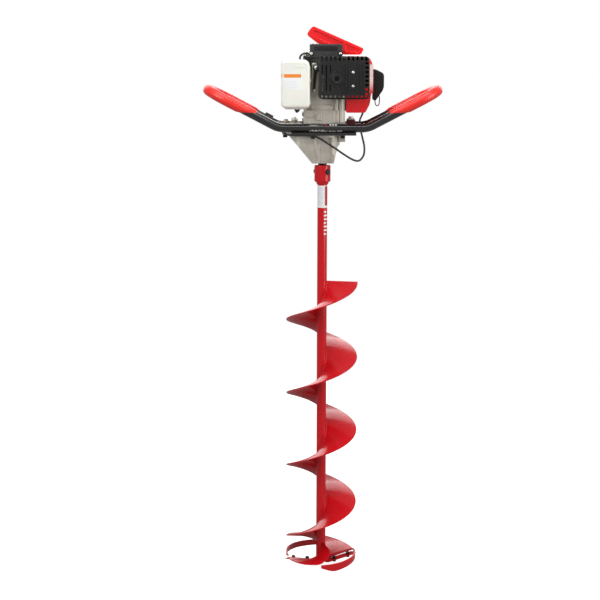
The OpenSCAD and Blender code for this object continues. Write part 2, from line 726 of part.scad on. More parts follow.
module muffler_guard() {
    x1 = guard_x0 + guard_w;
    z1 = guard_z0 + guard_h;
    xm = guard_x0 + guard_w / 2;
    zm = guard_z0 + guard_h / 2;
    color("black") difference() {
        union() {
            translate([xm, guard_y + guard_depth, zm]) rotate([90, 0, 0])
                linear_extrude(guard_depth - 3) round_box_2d(guard_w, guard_h, 10);
            translate([xm, guard_y + 3.01, zm]) rotate([90, 0, 0])
                linear_extrude(3.01) round_box_2d(guard_w - 7, guard_h - 7, 9);
            for (k = [0:3]) translate([guard_x0 + 9 + 9 * k, guard_y - 1.5, zm - 38])
                cube([3.5, 5, 76]);
            for (k = [0:4]) translate([guard_x0 + 74 + 9 * k, guard_y - 1.5, zm - 38])
                cube([3, 5, 76]);
            translate([guard_x0 + 45.5, guard_y + 3, zm - 2.5]) rotate([90, 0, 0])
                cylinder(r = 14, h = 5);
        }
        translate([xm, guard_y + guard_depth + 1, zm]) rotate([90, 0, 0])
            linear_extrude(guard_depth - 3) round_box_2d(guard_w - 6, guard_h - 6, 8);
        for (k = [0:10]) translate([guard_x0 + 6 + 11 * k, guard_y - 3, z1 - 12])
            cube([5, 22, 13]);
        for (k = [0:10]) translate([guard_x0 + 6 + 11 * k, guard_y - 3, guard_z0 - 1])
            cube([5, 22, 11]);
        for (k = [0:7]) translate([x1 - 12, guard_y - 3, guard_z0 + 11 + 11 * k])
            cube([13, 22, 5]);
        translate([guard_x0 + 45.5, guard_y - 4, zm - 2.5]) rotate([-90, 0, 0])
            cylinder(r = 5, h = 12);
        for (z = [zm - 20, zm + 14]) translate([73.5, guard_y - 4, z]) rotate([-90, 0, 0])
            cylinder(d = 5.4, h = 12);
    }
}

module guard_screws() {
    color("silver") for (z = [guard_z0 + guard_h / 2 - 20, guard_z0 + guard_h / 2 + 14])
        translate([73.5, guard_y, z]) rotate([90, 0, 0]) {
            translate([0, 0, 1.6]) cylinder(d = 9, h = 2.4);
            translate([0, 0, -6.8]) cylinder(d = 5, h = 9);
        }
}

module guard_bracket() {
    color("dimgray") {
        block([-29, -62, 1244], [-15, -59.5, 1320]);
        block([-29, -59.6, 1290], [-15, -column_y - 0.05, 1294]);
        block([-15.1, -62, 1262], [-9.1, -59.5, 1280]);
        translate([-18.5, -62, 1309.5]) rotate([90, 0, 0]) cylinder(d = 12, h = 4);
        translate([-22, -62, 1252]) rotate([90, 0, 0]) cylinder(d = 8, h = 4);
    }
}

// ---------------------------------------------------------------- fuel

module fuel_tank() {
    lo = [tank_x0, -98, tank_z0];
    hi = [tank_x0 + tank_w, -43, tank_z0 + tank_h];
    w = 2.5;
    color("ivory") difference() {
        union() {
            soft_block(lo, hi, 13);
            translate([-84, -50, 1308]) rotate([-90, 0, 0]) cylinder(r = 15, h = 16);
        }
        soft_block([lo[0] + w, lo[1] + w, lo[2] + w], [hi[0] - w, hi[1] - w, hi[2] - w], 11);
        translate([-84, -60, 1308]) rotate([-90, 0, 0]) cylinder(r = 12.5, h = 40);
        translate([-68, -62, tank_z0 - 1]) cylinder(r = 4, h = 6);
    }
}

module fuel_cap() {
    color("black") translate([-84, -33.9, 1308]) rotate([-90, 0, 0]) difference() {
        union() {
            cylinder(r = 18, h = 14);
            translate([0, 0, -10]) cylinder(r = 12.3, h = 10.1);
        }
        for (a = [0:20:340]) rotate([0, 0, a]) translate([19, 0, 1]) cylinder(r = 2.2, h = 14);
    }
}

module tank_bracket() {
    color("dimgray") {
        difference() {
            block([-96, -92, 1207.9], [-42, -44, 1210.9]);
            translate([-68, -62, 1200]) cylinder(r = 7, h = 20);
        }
        block([-49, -46.2, 1186], [-22, -43.1, 1203]);
        block([-49, -46.2, 1202.9], [-42, -43.1, 1210.9]);
    }
}

module fuel_line() {
    color("black") {
        swept_tube(fuel_route, 6, 4, 8);
        swept_tube(vent_route, 5, 4, 8);
        translate([-68, -62, 1204]) cylinder(r = 3.9, h = 10);
    }
}

// ---------------------------------------------------------------- intake side

module intake_block() {
    color("black") difference() {
        block([64, 41, cyl_z - 20], [104, 50, cyl_z + 12]);
        translate([84, 30, cyl_z - 4]) rotate([-90, 0, 0]) cylinder(r = 8, h = 30);
    }
}

module carburetor() {
    color("darkgray") difference() {
        union() {
            block([66, 50.1, cyl_z - 24], [102, 80, cyl_z + 16]);
            translate([66, 65, cyl_z - 10]) rotate([0, -90, 0]) cylinder(r = 11, h = 5);
            translate([84, 64, cyl_z + 15.9]) cylinder(r = 6, h = 2);
            block([98, 62, cyl_z + 15.9], [101, 78, cyl_z + 30]);
        }
        translate([84, 40, cyl_z - 4]) rotate([-90, 0, 0]) cylinder(r = 8, h = 60);
        translate([84, 64, cyl_z + 4]) cylinder(r = 3 + run, h = 20);
        translate([66.1, 65, cyl_z - 10]) rotate([0, -90, 0]) cylinder(r = 8, h = 6);
        translate([90, 72, cyl_z + 23]) rotate([0, 90, 0]) cylinder(r = 1.5, h = 20);
    }
}

module throttle_arm() {
    color("silver") translate([84, 64, cyl_z]) {
        translate([0, 0, 6]) cylinder(r = 3, h = 14);
        translate([0, 0, 18.2]) cylinder(r = 6, h = 2.4);
        translate([-4, 0, 18.2]) cube([8, 9, 2.4]);
        translate([0, 9, 18.2]) cylinder(r = 4, h = 5);
    }
}

module primer_bulb() {
    color("red") translate([60.9, 65, cyl_z - 10]) rotate([0, -90, 0]) rotate_extrude()
        polygon(concat([[0, 0], [7.9, 0]],
            [for (a = [0:15:90]) [7.9 * cos(a), 2 + 9 * sin(a)]]));
}

module air_cleaner() {
    color("black") difference() {
        union() {
            translate([83, 118, cyl_z - 2]) rotate([90, 0, 0]) linear_extrude(37.9)
                round_box_2d(74, 84, 12);
            for (z = [-24, -12, 0, 12, 24]) translate([60, 117, cyl_z - 3 + z]) cube([46, 3, 3]);
        }
        translate([83, 115, cyl_z - 2]) rotate([90, 0, 0]) linear_extrude(32) round_box_2d(68, 78, 9);
        translate([84, 70, cyl_z - 4]) rotate([-90, 0, 0]) cylinder(r = 8, h = 20);
        translate([40, 100, cyl_z + 20]) rotate([0, 90, 0]) cylinder(r = 3 + run, h = 20);
    }
}

module choke_lever() {
    color("black") translate([40, 100, cyl_z + 20]) rotate([0, 90, 0]) {
        translate([0, 0, -2]) cylinder(r = 3, h = 14);
        translate([0, 0, -2]) cylinder(r = 7, h = 4);
        translate([-26, -3.5, -2]) cube([26, 7, 4]);
    }
}

// ---------------------------------------------------------------- recoil starter

module fan_housing() {
    color("black") difference() {
        union() {
            translate([0, 0, fan_z + 0.1]) cylinder(r = 51, h = recoil_z - fan_z - 0.2);
            block([0, -38, fan_z + 0.1], [57.4, 38, recoil_z - 0.1]);
        }
        translate([0, 0, fan_z + 2]) cylinder(r = 47, h = 40);
        translate([0, 0, fan_z - 1]) cylinder(r = 9, h = 10);
        translate([40, -28, fan_z + 5]) cube([20, 56, 22]);
        block([-120, -60, fan_z - 1], [-31, -38, recoil_z + 1]);
        block([-14, -80, fan_z - 1], [120, -49.5, recoil_z + 1]);
    }
}

switch_y = 58.3;
module stop_switch() {
    color("red") translate([-14, switch_y, 1318]) {
        rotate([0, 90, 0]) cylinder(r = 4.8, h = 10);
        translate([-4, 0, 0]) rotate([0, 90, 0]) cylinder(r = 1.5, h = 18);
        translate([0, 0, -7]) cube([10, 4.5, 14]);
    }
}

recoil_side = [-34, 48];
module recoil_housing() {
    color("black") difference() {
        union() {
            translate([0, 0, recoil_z]) cylinder(r = 51, h = 4);
            block([recoil_side[0], -50, recoil_z], [recoil_side[1], -14, 1368]);
            translate([0, 0, recoil_z]) cylinder(r = 36, h = 12);
            block([-20, 51.05, 1306], [2, 53, recoil_z + 4]);
            block([-20, 50, recoil_z], [2, 52, recoil_z + 4]);
            for (x = [-19, -2]) translate([x, 52.9, 1308]) cube([3, 9, 20]);
        }
        translate([-25, switch_y, 1318]) rotate([0, 90, 0]) cylinder(r = 1.5 + run, h = 30);
        translate([0, 0, recoil_z - 1]) cylinder(r = 33, h = 10);
        block([recoil_side[0] + 3, -47, recoil_z - 1], [recoil_side[1] - 3, -35, 1365]);
        block([recoil_side[0] + 3, -36, 1349], [recoil_side[1] - 3, -17, 1365]);
        translate([rope_foot[0], rope_foot[1], recoil_z]) rotate([0, pull_lean, 0])
            translate([0, 0, -20]) cylinder(r = 3.2, h = 60);
        block([-160, -60, recoil_z - 1], [-34, -30, 1380]);
    }
}

rope_foot = [22, 12];
module recoil_pulley() {
    color("dimgray") translate([0, 0, recoil_z + 0.5]) difference() {
        union() {
            cylinder(r = 31, h = 2);
            cylinder(r = 27, h = 7.5);
            translate([0, 0, 5.5]) cylinder(r = 31, h = 2);
        }
        translate([0, 0, -1]) cylinder(r = 8, h = 12);
    }
}

// Frame of the recoil rope: z along the pull
module pull_frame() {
    translate([rope_foot[0], rope_foot[1], recoil_z]) rotate([0, pull_lean, 0]) children();
}

module recoil_rope() {
    color("white") pull_frame() translate([0, 0, 12.5]) cylinder(r = 2, h = 9);
}

// The grip in the front view: its broad end is high on the left, the narrow end low on the right
grip_side = [[-24, 1412], [-34, 1407], [-40, 1396], [-36, 1386], [-14, 1370], [30, 1350],
    [54, 1341.5], [95, 1341.5], [103, 1346], [103, 1354]];
grip_y = [-4, 28];
module recoil_grip() {
    color("red") difference() {
        translate([0, grip_y[1], 0]) rotate([90, 0, 0]) linear_extrude(grip_y[1] - grip_y[0])
            polygon(grip_side);
        pull_frame() cylinder(r = 2.6, h = 26);
    }
}

// ---------------------------------------------------------------- controls

// Left arm frame: x out along the back arm, y across the loop, z square to its plane
module left_arm() {
    translate([-arm_x, 0, arm_z]) rotate([0, arm_rise, 0]) mirror([1, 0, 0]) children();
}

lever_pivot = [18, 36];
module throttle_clamp() {
    color("black") left_arm() difference() {
        union() {
            translate([8, bar_y, 0]) rotate([0, 90, 0]) cylinder(r = bar_r + 4, h = 22);
            translate([8, lever_pivot[1] - 6, -9]) cube([20, 12, 18]);
            translate([3, lever_pivot[1] - 4, -5]) cube([6, 8, 10]);
        }
        translate([0, bar_y, 0]) rotate([0, 90, 0]) cylinder(r = bar_r + seat, h = 40);
        translate([7, lever_pivot[1] - 20, -4]) cube([40, 40, 8]);
        translate([lever_pivot[0], lever_pivot[1], -12]) cylinder(r = 2.5 + run, h = 30);
        translate([-2, lever_pivot[1], 0]) rotate([0, 90, 0]) cylinder(r = 2.7, h = 12);
    }
}

module throttle_lever() {
    color("red") left_arm() translate([lever_pivot[0], lever_pivot[1], 0]) {
        translate([0, 0, -9]) cylinder(r = 2.5, h = 18);
        linear_extrude(7, center = true) {
            circle(6);
            rotate(-14) translate([0, -4]) square([80, 8]);
            rotate(-14) translate([80, 0]) circle(4);
        }
    }
}

module control_cable() {
    color("black") swept_tube(cable_route, cable_d, 3, 8);
}

auger_tube();
auger_flight();
second_flight();
blade_holders();
centering_bands();
ice_blades();
blade_bolts();
centre_point();
coupler();
coupler_bolt();
output_shaft();
output_gear();
idler_gears();
drum_pinion();
clutch_shoe_a();
clutch_shoe_b();
crankshaft();
flywheel_fan();
gearbox_housing();
gearbox_bolts();
gearbox_cover();
gear_bearings();
oil_seal();
handlebar_loop();
handlebar_plate();
handlebar_blocks();
left_grip();
right_grip();
clutch_housing();
crankcase();
crank_bearings();
engine_cylinder();
piston();
spark_plug();
plug_cover();
plug_lead();
cylinder_shroud();
muffler();
muffler_guard();
guard_screws();
guard_bracket();
fuel_tank();
fuel_cap();
tank_bracket();
fuel_line();
intake_block();
carburetor();
throttle_arm();
primer_bulb();
air_cleaner();
choke_lever();
fan_housing();
stop_switch();
recoil_housing();
recoil_pulley();
recoil_rope();
recoil_grip();
throttle_clamp();
throttle_lever();
control_cable();
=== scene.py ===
"""Looks of a powered ice fishing auger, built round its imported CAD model.

Lengths are millimetres in the part's own frame: +Z up the auger, -Y the muffler side, +X the
cylinder side. Every mesh is made in metres, in place, with its object at the origin.
"""

import math

import bmesh
import bpy
from mathutils import Matrix, Vector


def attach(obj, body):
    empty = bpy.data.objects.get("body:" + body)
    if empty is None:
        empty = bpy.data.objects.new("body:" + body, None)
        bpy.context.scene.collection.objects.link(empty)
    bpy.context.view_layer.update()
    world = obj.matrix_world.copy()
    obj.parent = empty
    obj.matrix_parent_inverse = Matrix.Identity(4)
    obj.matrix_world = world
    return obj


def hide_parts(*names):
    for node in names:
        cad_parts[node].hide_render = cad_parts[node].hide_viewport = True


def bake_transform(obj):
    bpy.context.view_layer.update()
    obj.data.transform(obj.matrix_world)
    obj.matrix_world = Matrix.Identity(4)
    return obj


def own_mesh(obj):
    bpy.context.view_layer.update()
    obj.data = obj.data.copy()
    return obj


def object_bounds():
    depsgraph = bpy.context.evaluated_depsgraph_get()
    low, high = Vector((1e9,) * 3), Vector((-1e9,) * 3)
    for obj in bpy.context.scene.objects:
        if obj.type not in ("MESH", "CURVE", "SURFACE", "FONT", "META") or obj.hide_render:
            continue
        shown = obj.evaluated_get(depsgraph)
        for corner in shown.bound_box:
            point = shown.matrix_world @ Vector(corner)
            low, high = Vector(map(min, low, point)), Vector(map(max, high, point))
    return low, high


MM = 0.001
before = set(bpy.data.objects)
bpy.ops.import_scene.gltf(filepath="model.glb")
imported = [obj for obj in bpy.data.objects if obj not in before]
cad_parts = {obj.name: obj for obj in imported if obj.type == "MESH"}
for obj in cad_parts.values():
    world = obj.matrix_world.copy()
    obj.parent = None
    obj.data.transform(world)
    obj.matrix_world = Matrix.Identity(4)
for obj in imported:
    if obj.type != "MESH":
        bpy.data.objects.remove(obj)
cad_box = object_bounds()
scene = bpy.context.scene

# ------------------------------------------------------------------ driving sizes
TUBE_R = 12.7
FLIGHT_R = 93.0
FLIGHT_T = 3.0
FLIGHT_PITCH = 196.3
BAR_R = 11.1
BAR_Y = 55.0
BAR_Z = 1159.4
BEND_X = 98.3
BEND_R = 60.0
ARM_RISE = math.radians(27.5)
ARM_LEN = 131.6
GRIP_T = 2.5
DIP_Z = 1198.0
CYL_Z = 1262.0
PULL_LEAN = math.radians(23)


# ------------------------------------------------------------------ camera
CAMERA_AT = (-57.0, -4048.3, 1424.0)
LENS = 94.58
LOOK_DOWN = math.radians(10.02)
ROLL = 0.0022


def make_camera():
    data = bpy.data.cameras.new("camera")
    data.sensor_width = 36
    data.lens = LENS
    camera = bpy.data.objects.new("camera", data)
    scene.collection.objects.link(camera)
    camera.matrix_world = (
        Matrix.Translation(Vector(CAMERA_AT) * MM)
        @ Matrix.Rotation(math.pi / 2 - LOOK_DOWN, 4, "X")
        @ Matrix.Rotation(ROLL, 4, "Z")
    )
    scene.camera = camera


make_camera()


# ------------------------------------------------------------------ materials
def surface(name, base, rough, metal=0.0, spread=0.08, patch=14.0, grain=700.0, depth=0.15,
            stretch=(1, 1, 1), mottle=0.06, **sockets):
    """Principled material whose colour drifts in patches and whose roughness and relief follow
    a finer grain. patch and grain are cycles per metre."""
    m = bpy.data.materials.new(name)
    m.use_nodes = True
    nodes, links = m.node_tree.nodes, m.node_tree.links
    shader = nodes["Principled BSDF"]
    coords = nodes.new("ShaderNodeTexCoord")
    mapping = nodes.new("ShaderNodeMapping")
    mapping.inputs["Scale"].default_value = stretch
    links.new(coords.outputs["Object"], mapping.inputs["Vector"])
    broad = nodes.new("ShaderNodeTexNoise")
    broad.inputs["Scale"].default_value = patch
    broad.inputs["Detail"].default_value = 4
    fine = nodes.new("ShaderNodeTexNoise")
    fine.inputs["Scale"].default_value = grain
    fine.inputs["Detail"].default_value = 3
    for texture in (broad, fine):
        links.new(mapping.outputs["Vector"], texture.inputs["Vector"])
    ramp = nodes.new("ShaderNodeValToRGB")
    ramp.color_ramp.elements[0].position = 0.3
    ramp.color_ramp.elements[1].position = 0.7
    ramp.color_ramp.elements[0].color = (*[c * (1 - spread) for c in base], 1)
    ramp.color_ramp.elements[1].color = (*[min(1, c * (1 + spread)) for c in base], 1)
    links.new(broad.outputs["Fac"], ramp.inputs["Fac"])
    links.new(ramp.outputs["Color"], shader.inputs["Base Color"])
    level = nodes.new("ShaderNodeMapRange")
    level.inputs["From Min"].default_value = 0.3
    level.inputs["From Max"].default_value = 0.7
    level.inputs["To Min"].default_value = max(0.02, rough - mottle)
    level.inputs["To Max"].default_value = rough + mottle
    links.new(fine.outputs["Fac"], level.inputs["Value"])
    links.new(level.outputs["Result"], shader.inputs["Roughness"])
    bump = nodes.new("ShaderNodeBump")
    bump.inputs["Strength"].default_value = depth
    bump.inputs["Distance"].default_value = 0.0004
    links.new(fine.outputs["Fac"], bump.inputs["Height"])
    links.new(bump.outputs["Normal"], shader.inputs["Normal"])
    shader.inputs["Metallic"].default_value = metal
    for socket, value in sockets.items():
        shader.inputs[socket.replace("_", " ")].default_value = value
    return m


RED_PAINT = surface("red_powder_coat", (0.53, 0.004, 0.009), 0.24, patch=6, grain=260, depth=0.10,
                    spread=0.06, mottle=0.05, Coat_Weight=0.15, Coat_Roughness=0.08,
                    Specular_IOR_Level=0.35)
RED_PLASTIC = surface("red_moulding", (0.80, 0.006, 0.010), 0.30, grain=900, depth=0.06,
                      Coat_Weight=0.3, Coat_Roughness=0.15)
RED_VINYL = surface("red_dipped_vinyl", (0.78, 0.022, 0.014), 0.36, grain=420, depth=0.22, patch=30,
                    Subsurface_Weight=0.06, Subsurface_Scale=0.004, Coat_Weight=0.15,
                    Coat_Roughness=0.3)
BLACK_PAINT = surface("black_powder_coat", (0.014, 0.012, 0.012), 0.16, spread=0.2, grain=300,
                      depth=0.10, mottle=0.04, Coat_Weight=0.8, Coat_Roughness=0.06)
BLACK_PLASTIC = surface("black_moulding", (0.011, 0.010, 0.010), 0.46, spread=0.25, grain=1500,
                        depth=0.35, mottle=0.08, Specular_IOR_Level=0.35)
GREY_PLASTIC = surface("charcoal_moulding", (0.032, 0.031, 0.032), 0.42, spread=0.2, grain=1500,
                       depth=0.35, mottle=0.08)
BLACK_RUBBER = surface("black_rubber", (0.014, 0.014, 0.014), 0.50, spread=0.3, grain=1100,
                       depth=0.25, mottle=0.1)
CAST = surface("sand_cast_aluminium", (0.56, 0.52, 0.45), 0.46, metal=0.35, spread=0.14, patch=40,
               grain=850, depth=0.75, mottle=0.12)
CAST_DARK = surface("cast_aluminium_aged", (0.24, 0.23, 0.20), 0.52, metal=0.45, spread=0.2,
                    patch=50, grain=850, depth=0.75, mottle=0.12)
MACHINED = surface("machined_steel", (0.52, 0.52, 0.50), 0.28, metal=1.0, stretch=(1, 1, 18),
                   grain=300, depth=0.12)
STAINLESS = surface("ground_stainless", (0.72, 0.72, 0.70), 0.20, metal=1.0, stretch=(14, 1, 1),
                    grain=260, depth=0.12, mottle=0.08)
DARK_STEEL = surface("oxide_steel", (0.028, 0.027, 0.026), 0.38, metal=0.7, spread=0.3, patch=90,
                     grain=900, depth=0.3)
ZINC = surface("zinc_plate", (0.66, 0.65, 0.58), 0.30, metal=1.0, spread=0.1, patch=120, grain=700,
               depth=0.2)
KHAKI = surface("yellow_zinc", (0.40, 0.37, 0.27), 0.42, metal=0.55, spread=0.2, patch=90)
TANK = surface("natural_polyethylene", (0.80, 0.80, 0.73), 0.34, spread=0.03, grain=500,
               depth=0.12, Subsurface_Weight=0.35, Subsurface_Scale=0.006)
WHITE_PRINT = surface("white_print", (0.82, 0.82, 0.80), 0.35, spread=0.03, depth=0.05)
GREY_PRINT = surface("grey_print", (0.55, 0.57, 0.60), 0.40, spread=0.04, depth=0.05)
PALE_PRINT = surface("pale_print", (0.70, 0.72, 0.76), 0.40, spread=0.04, depth=0.05)
ORANGE_PRINT = surface("orange_print", (0.80, 0.24, 0.025), 0.35, spread=0.08, depth=0.05)
RED_PRINT = surface("red_print", (0.42, 0.02, 0.018), 0.35, spread=0.05, depth=0.05)
DARK_RED = surface("dark_red_rubber", (0.10, 0.008, 0.010), 0.5, spread=0.2, grain=900, depth=0.3)
CERAMIC = surface("glazed_ceramic", (0.85, 0.85, 0.82), 0.12, spread=0.02, depth=0.03)
ROPE = surface("braided_rope", (0.70, 0.69, 0.64), 0.7, spread=0.2, patch=900, grain=1600,
               depth=0.8)


# ------------------------------------------------------------------ mesh helpers
def prism(outline, axis, low, high):
    """Outline extruded along an axis: (x, y), (x, z) or (y, z) points for z, y and x."""
    place = {"x": lambda a, b, c: (c, a, b), "y": lambda a, b, c: (a, c, b),
             "z": lambda a, b, c: (a, b, c)}[axis]
    n = len(outline)
    verts = [place(a, b, low) for a, b in outline] + [place(a, b, high) for a, b in outline]
    faces = [tuple(range(n)), tuple(range(n, 2 * n))]
    faces += [(i, (i + 1) % n, n + (i + 1) % n, n + i) for i in range(n)]
    return verts, faces


def eased(points, r, n=4):
    """The outline with each corner rounded."""
    out = []
    for i, p in enumerate(points):
        p = Vector(p)
        a, b = Vector(points[i - 1]) - p, Vector(points[(i + 1) % len(points)]) - p
        start = p + a.normalized() * min(r, a.length * 0.48)
        end = p + b.normalized() * min(r, b.length * 0.48)
        for k in range(n + 1):
            t = k / n
            out.append(tuple((1 - t) ** 2 * start + 2 * t * (1 - t) * p + t * t * end))
    return out


def rounded(x0, z0, x1, z1, r, n=5):
    """Outline of a rectangle with rounded corners."""
    return eased([(x0, z0), (x1, z0), (x1, z1), (x0, z1)], r, n)


def circle(x, z, r, n=32):
    """Outline of a circle."""
    return [(x + r * math.cos(math.tau * k / n), z + r * math.sin(math.tau * k / n))
            for k in range(n)]


def across(direction):
    """Two unit vectors that are square to the direction and to each other."""
    direction = Vector(direction).normalized()
    up = Vector((0, 0, 1)) if abs(direction.z) < 0.95 else Vector((1, 0, 0))
    side = direction.cross(up).normalized()
    return side, side.cross(direction).normalized()


def sweep(path, radius, sides=24, closed=False):
    """Tube along a path. radius is a number, or a function of (centre, outward unit, index)."""
    path = [Vector(p) for p in path]
    n = len(path)
    verts, faces = [], []
    for i, p in enumerate(path):
        after = path[(i + 1) % n] if closed else path[min(i + 1, n - 1)]
        before = path[i - 1] if closed else path[max(i - 1, 0)]
        side, up = across(after - before)
        for k in range(sides):
            a = math.tau * k / sides
            out = side * math.cos(a) + up * math.sin(a)
            r = radius(p, out, i) if callable(radius) else radius
            verts.append(tuple(p + out * r))
    for i in range(n if closed else n - 1):
        for k in range(sides):
            a, b = i * sides + k, i * sides + (k + 1) % sides
            c, d = (i + 1) % n * sides + (k + 1) % sides, (i + 1) % n * sides + k
            faces.append((a, b, c, d))
    if not closed:
        faces += [tuple(range(sides)), tuple(range((n - 1) * sides, n * sides))]
    return verts, faces


def rod(start, end, r, sides=28):
    """Round bar from start to end."""
    return sweep([start, end], r, sides)


def lathe(profile, base, direction, sides=40):
    """Profile of (radius, height) points turned about a direction; ends at radius 0 close it."""
    base, direction = Vector(base), Vector(direction).normalized()
    side, up = across(direction)
    verts, rings, faces = [], [], []
    for r, h in profile:
        centre = base + direction * h
        if r < 1e-6:
            rings.append([len(verts)])
            verts.append(tuple(centre))
            continue
        rings.append(list(range(len(verts), len(verts) + sides)))
        for k in range(sides):
            a = math.tau * k / sides
            verts.append(tuple(centre + r * (side * math.cos(a) + up * math.sin(a))))
    for a, b in zip(rings, rings[1:]):
        for k in range(sides):
            m = (k + 1) % sides
            if len(a) == 1:
                faces.append((a[0], b[k], b[m]))
            elif len(b) == 1:
                faces.append((a[k], a[m], b[0]))
            else:
                faces.append((a[k], a[m], b[m], b[k]))
    for ring in (rings[0], rings[-1]):
        if len(ring) > 1:
            faces.append(tuple(ring))
    return verts, faces


def washer(profile, base, direction, sides):
    """Ring with an open bore: turned like a lathe part, its last circle joined to its first."""
    verts, faces = lathe(profile, base, direction, sides)
    last = sides * (len(profile) - 1)
    joined = [(last + k, last + (k + 1) % sides, (k + 1) % sides, k) for k in range(sides)]
    return verts, faces[:-2] + joined


def spline(points, per_span=6):
    """Catmull-Rom curve through the points."""
    p = [Vector(q) for q in points]
    out = []
    for i in range(len(p) - 1):
        a, b = p[max(i - 1, 0)], p[i]
        c, d = p[i + 1], p[min(i + 2, len(p) - 1)]
        for k in range(per_span):
            t = k / per_span
            out.append(0.5 * (2 * b + (c - a) * t + (2 * a - 5 * b + 4 * c - d) * t * t
                              + (3 * b - a - 3 * c + d) * t ** 3))
    return out + [p[-1]]


def hex_head(at, direction, flats, height, collar=0.0):
    """Chamfered hexagon head, with an optional washer face of the given extra radius."""
    r = flats / math.sqrt(3)
    at, direction = Vector(at), Vector(direction).normalized()
    parts = [lathe([(0, 0), (r, 0), (r, height * 0.86), (r * 0.87, height), (0, height)], at,
                   direction, 6)]
    if collar:
        parts.append(lathe([(0, 0), (r + collar, 0), (r + collar, 1.1), (r, 1.5), (0, 1.5)], at,
                           direction, 28))
    return parts


def screw_head(at, direction, r, height):
    """Domed screw head with a round recess, where four small posts leave a cross."""
    at, direction = Vector(at), Vector(direction).normalized()
    dome = [(r, 0)] + [(r * math.cos(a), height * (0.45 + 0.55 * math.sin(a)))
                       for a in (0, 0.35, 0.7, 1.0)]
    parts = [lathe([(0, 0), *dome, (r * 0.45, height), (r * 0.45, height * 0.55),
                    (0, height * 0.55)], at, direction, 24)]
    side, up = across(direction)
    for k in range(4):
        a = math.tau * (k + 0.5) / 4
        centre = at + (side * math.cos(a) + up * math.sin(a)) * r * 0.3 + direction * height * 0.5
        parts.append(rod(centre, centre + direction * height * 0.42, r * 0.16, 6))
    return parts


def build(name, parts):
    """One mesh object from parts given as (points, faces), with its points in millimetres."""
    mesh = bpy.data.meshes.new(name)
    bm = bmesh.new()
    for verts, faces in parts:
        made = [bm.verts.new(Vector(v) * MM) for v in verts]
        for f in faces:
            bm.faces.new([made[i] for i in f])
    bmesh.ops.recalc_face_normals(bm, faces=bm.faces)
    bm.to_mesh(mesh)
    bm.free()
    obj = bpy.data.objects.new(name, mesh)
    scene.collection.objects.link(obj)
    return obj


def baked(obj):
    """The object with its modifiers made part of its mesh."""
    graph = bpy.context.evaluated_depsgraph_get()
    mesh = bpy.data.meshes.new_from_object(obj.evaluated_get(graph))
    obj.modifiers.clear()
    obj.data = mesh
    return obj


def soften(obj, width, segments, angle=50):
    """Rounds the moulded edges before anything is cut into the piece."""
    soft = obj.modifiers.new("round", "BEVEL")
    soft.width = width * MM
    soft.segments = segments
    soft.limit_method = "ANGLE"
    soft.angle_limit = math.radians(angle)
    return baked(obj)


def carve(obj, parts, operation="DIFFERENCE"):
    """Cuts the parts out of the object for good, or joins or intersects them with it."""
    cutter = build("cutter", parts)
    modifier = obj.modifiers.new("cut", "BOOLEAN")
    modifier.operation = operation
    modifier.object = cutter
    modifier.solver = "EXACT"
    baked(obj)
    bpy.data.objects.remove(cutter)
    return obj


def dress(obj, body, material, replaced=(), bevel=0.0, segments=2, angle=35):
    """Rounds the edges, smooths, and hangs the piece on its CAD body."""
    for face in obj.data.polygons:
        face.use_smooth = True
    obj.data.set_sharp_from_angle(angle=math.radians(angle))
    if bevel:
        edge = obj.modifiers.new("edges", "BEVEL")
        edge.width = bevel * MM
        edge.segments = segments
        edge.limit_method = "ANGLE"
        edge.angle_limit = math.radians(angle)
        edge.harden_normals = True
        edge.use_clamp_overlap = False
    obj.data.materials.clear()
    obj.data.materials.append(material)
    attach(obj, body)
    if replaced:
        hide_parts(*replaced)
    return obj


def piece(name, parts, body, material, replaced=(), bevel=0.0, segments=2, angle=35):
    """A new object built from its parts and dressed."""
    return dress(build(name, parts), body, material, replaced, bevel, segments, angle)


def polish(node, material, bevel=0.5, segments=2):
    """A CAD node kept as it is, with eased edges and a finished material."""
    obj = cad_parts[node]
    mesh = obj.data
    if "custom_normal" in mesh.attributes:
        mesh.attributes.remove(mesh.attributes["custom_normal"])
    for face in mesh.polygons:
        face.use_smooth = True
    mesh.materials.clear()
    mesh.materials.append(material)
    weld = obj.modifiers.new("weld", "WELD")
    weld.merge_threshold = 0.00001
    flat = obj.modifiers.new("flat", "DECIMATE")
    flat.decimate_type = "DISSOLVE"
    flat.angle_limit = math.radians(0.6)
    if bevel:
        edge = obj.modifiers.new("edges", "BEVEL")
        edge.width = bevel * MM
        edge.segments = segments
        edge.limit_method = "ANGLE"
        edge.angle_limit = math.radians(32)
        edge.use_clamp_overlap = False
    normal = obj.modifiers.new("normals", "WEIGHTED_NORMAL")
    normal.keep_sharp = True
    return obj


def lookup(x, table):
    """Straight-line value at x in a table of (x, y) pairs, held flat beyond its ends."""
    for (x0, y0), (x1, y1) in zip(table, table[1:]):
        if x <= x1:
            return y0 + (y1 - y0) * max(0.0, x - x0) / (x1 - x0)
    return table[-1][1]


# ------------------------------------------------------------------ cords
def cord_curve(name, route, diameter, body, material, replaced):
    """Round cord of the given diameter along a smooth route."""
    line = spline(route, 5)
    data = bpy.data.curves.new(name, "CURVE")
    data.dimensions = "3D"
    data.bevel_depth = diameter / 2 * MM
    data.bevel_resolution = 5
    data.use_fill_caps = True
    poly = data.splines.new("POLY")
    poly.points.add(len(line) - 1)
    for point, at in zip(poly.points, line):
        point.co = (*(at * MM), 1)
    poly.use_smooth = True
    obj = bpy.data.objects.new(name, data)
    scene.collection.objects.link(obj)
    data.materials.append(material)
    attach(obj, body)
    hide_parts(replaced)
    return obj


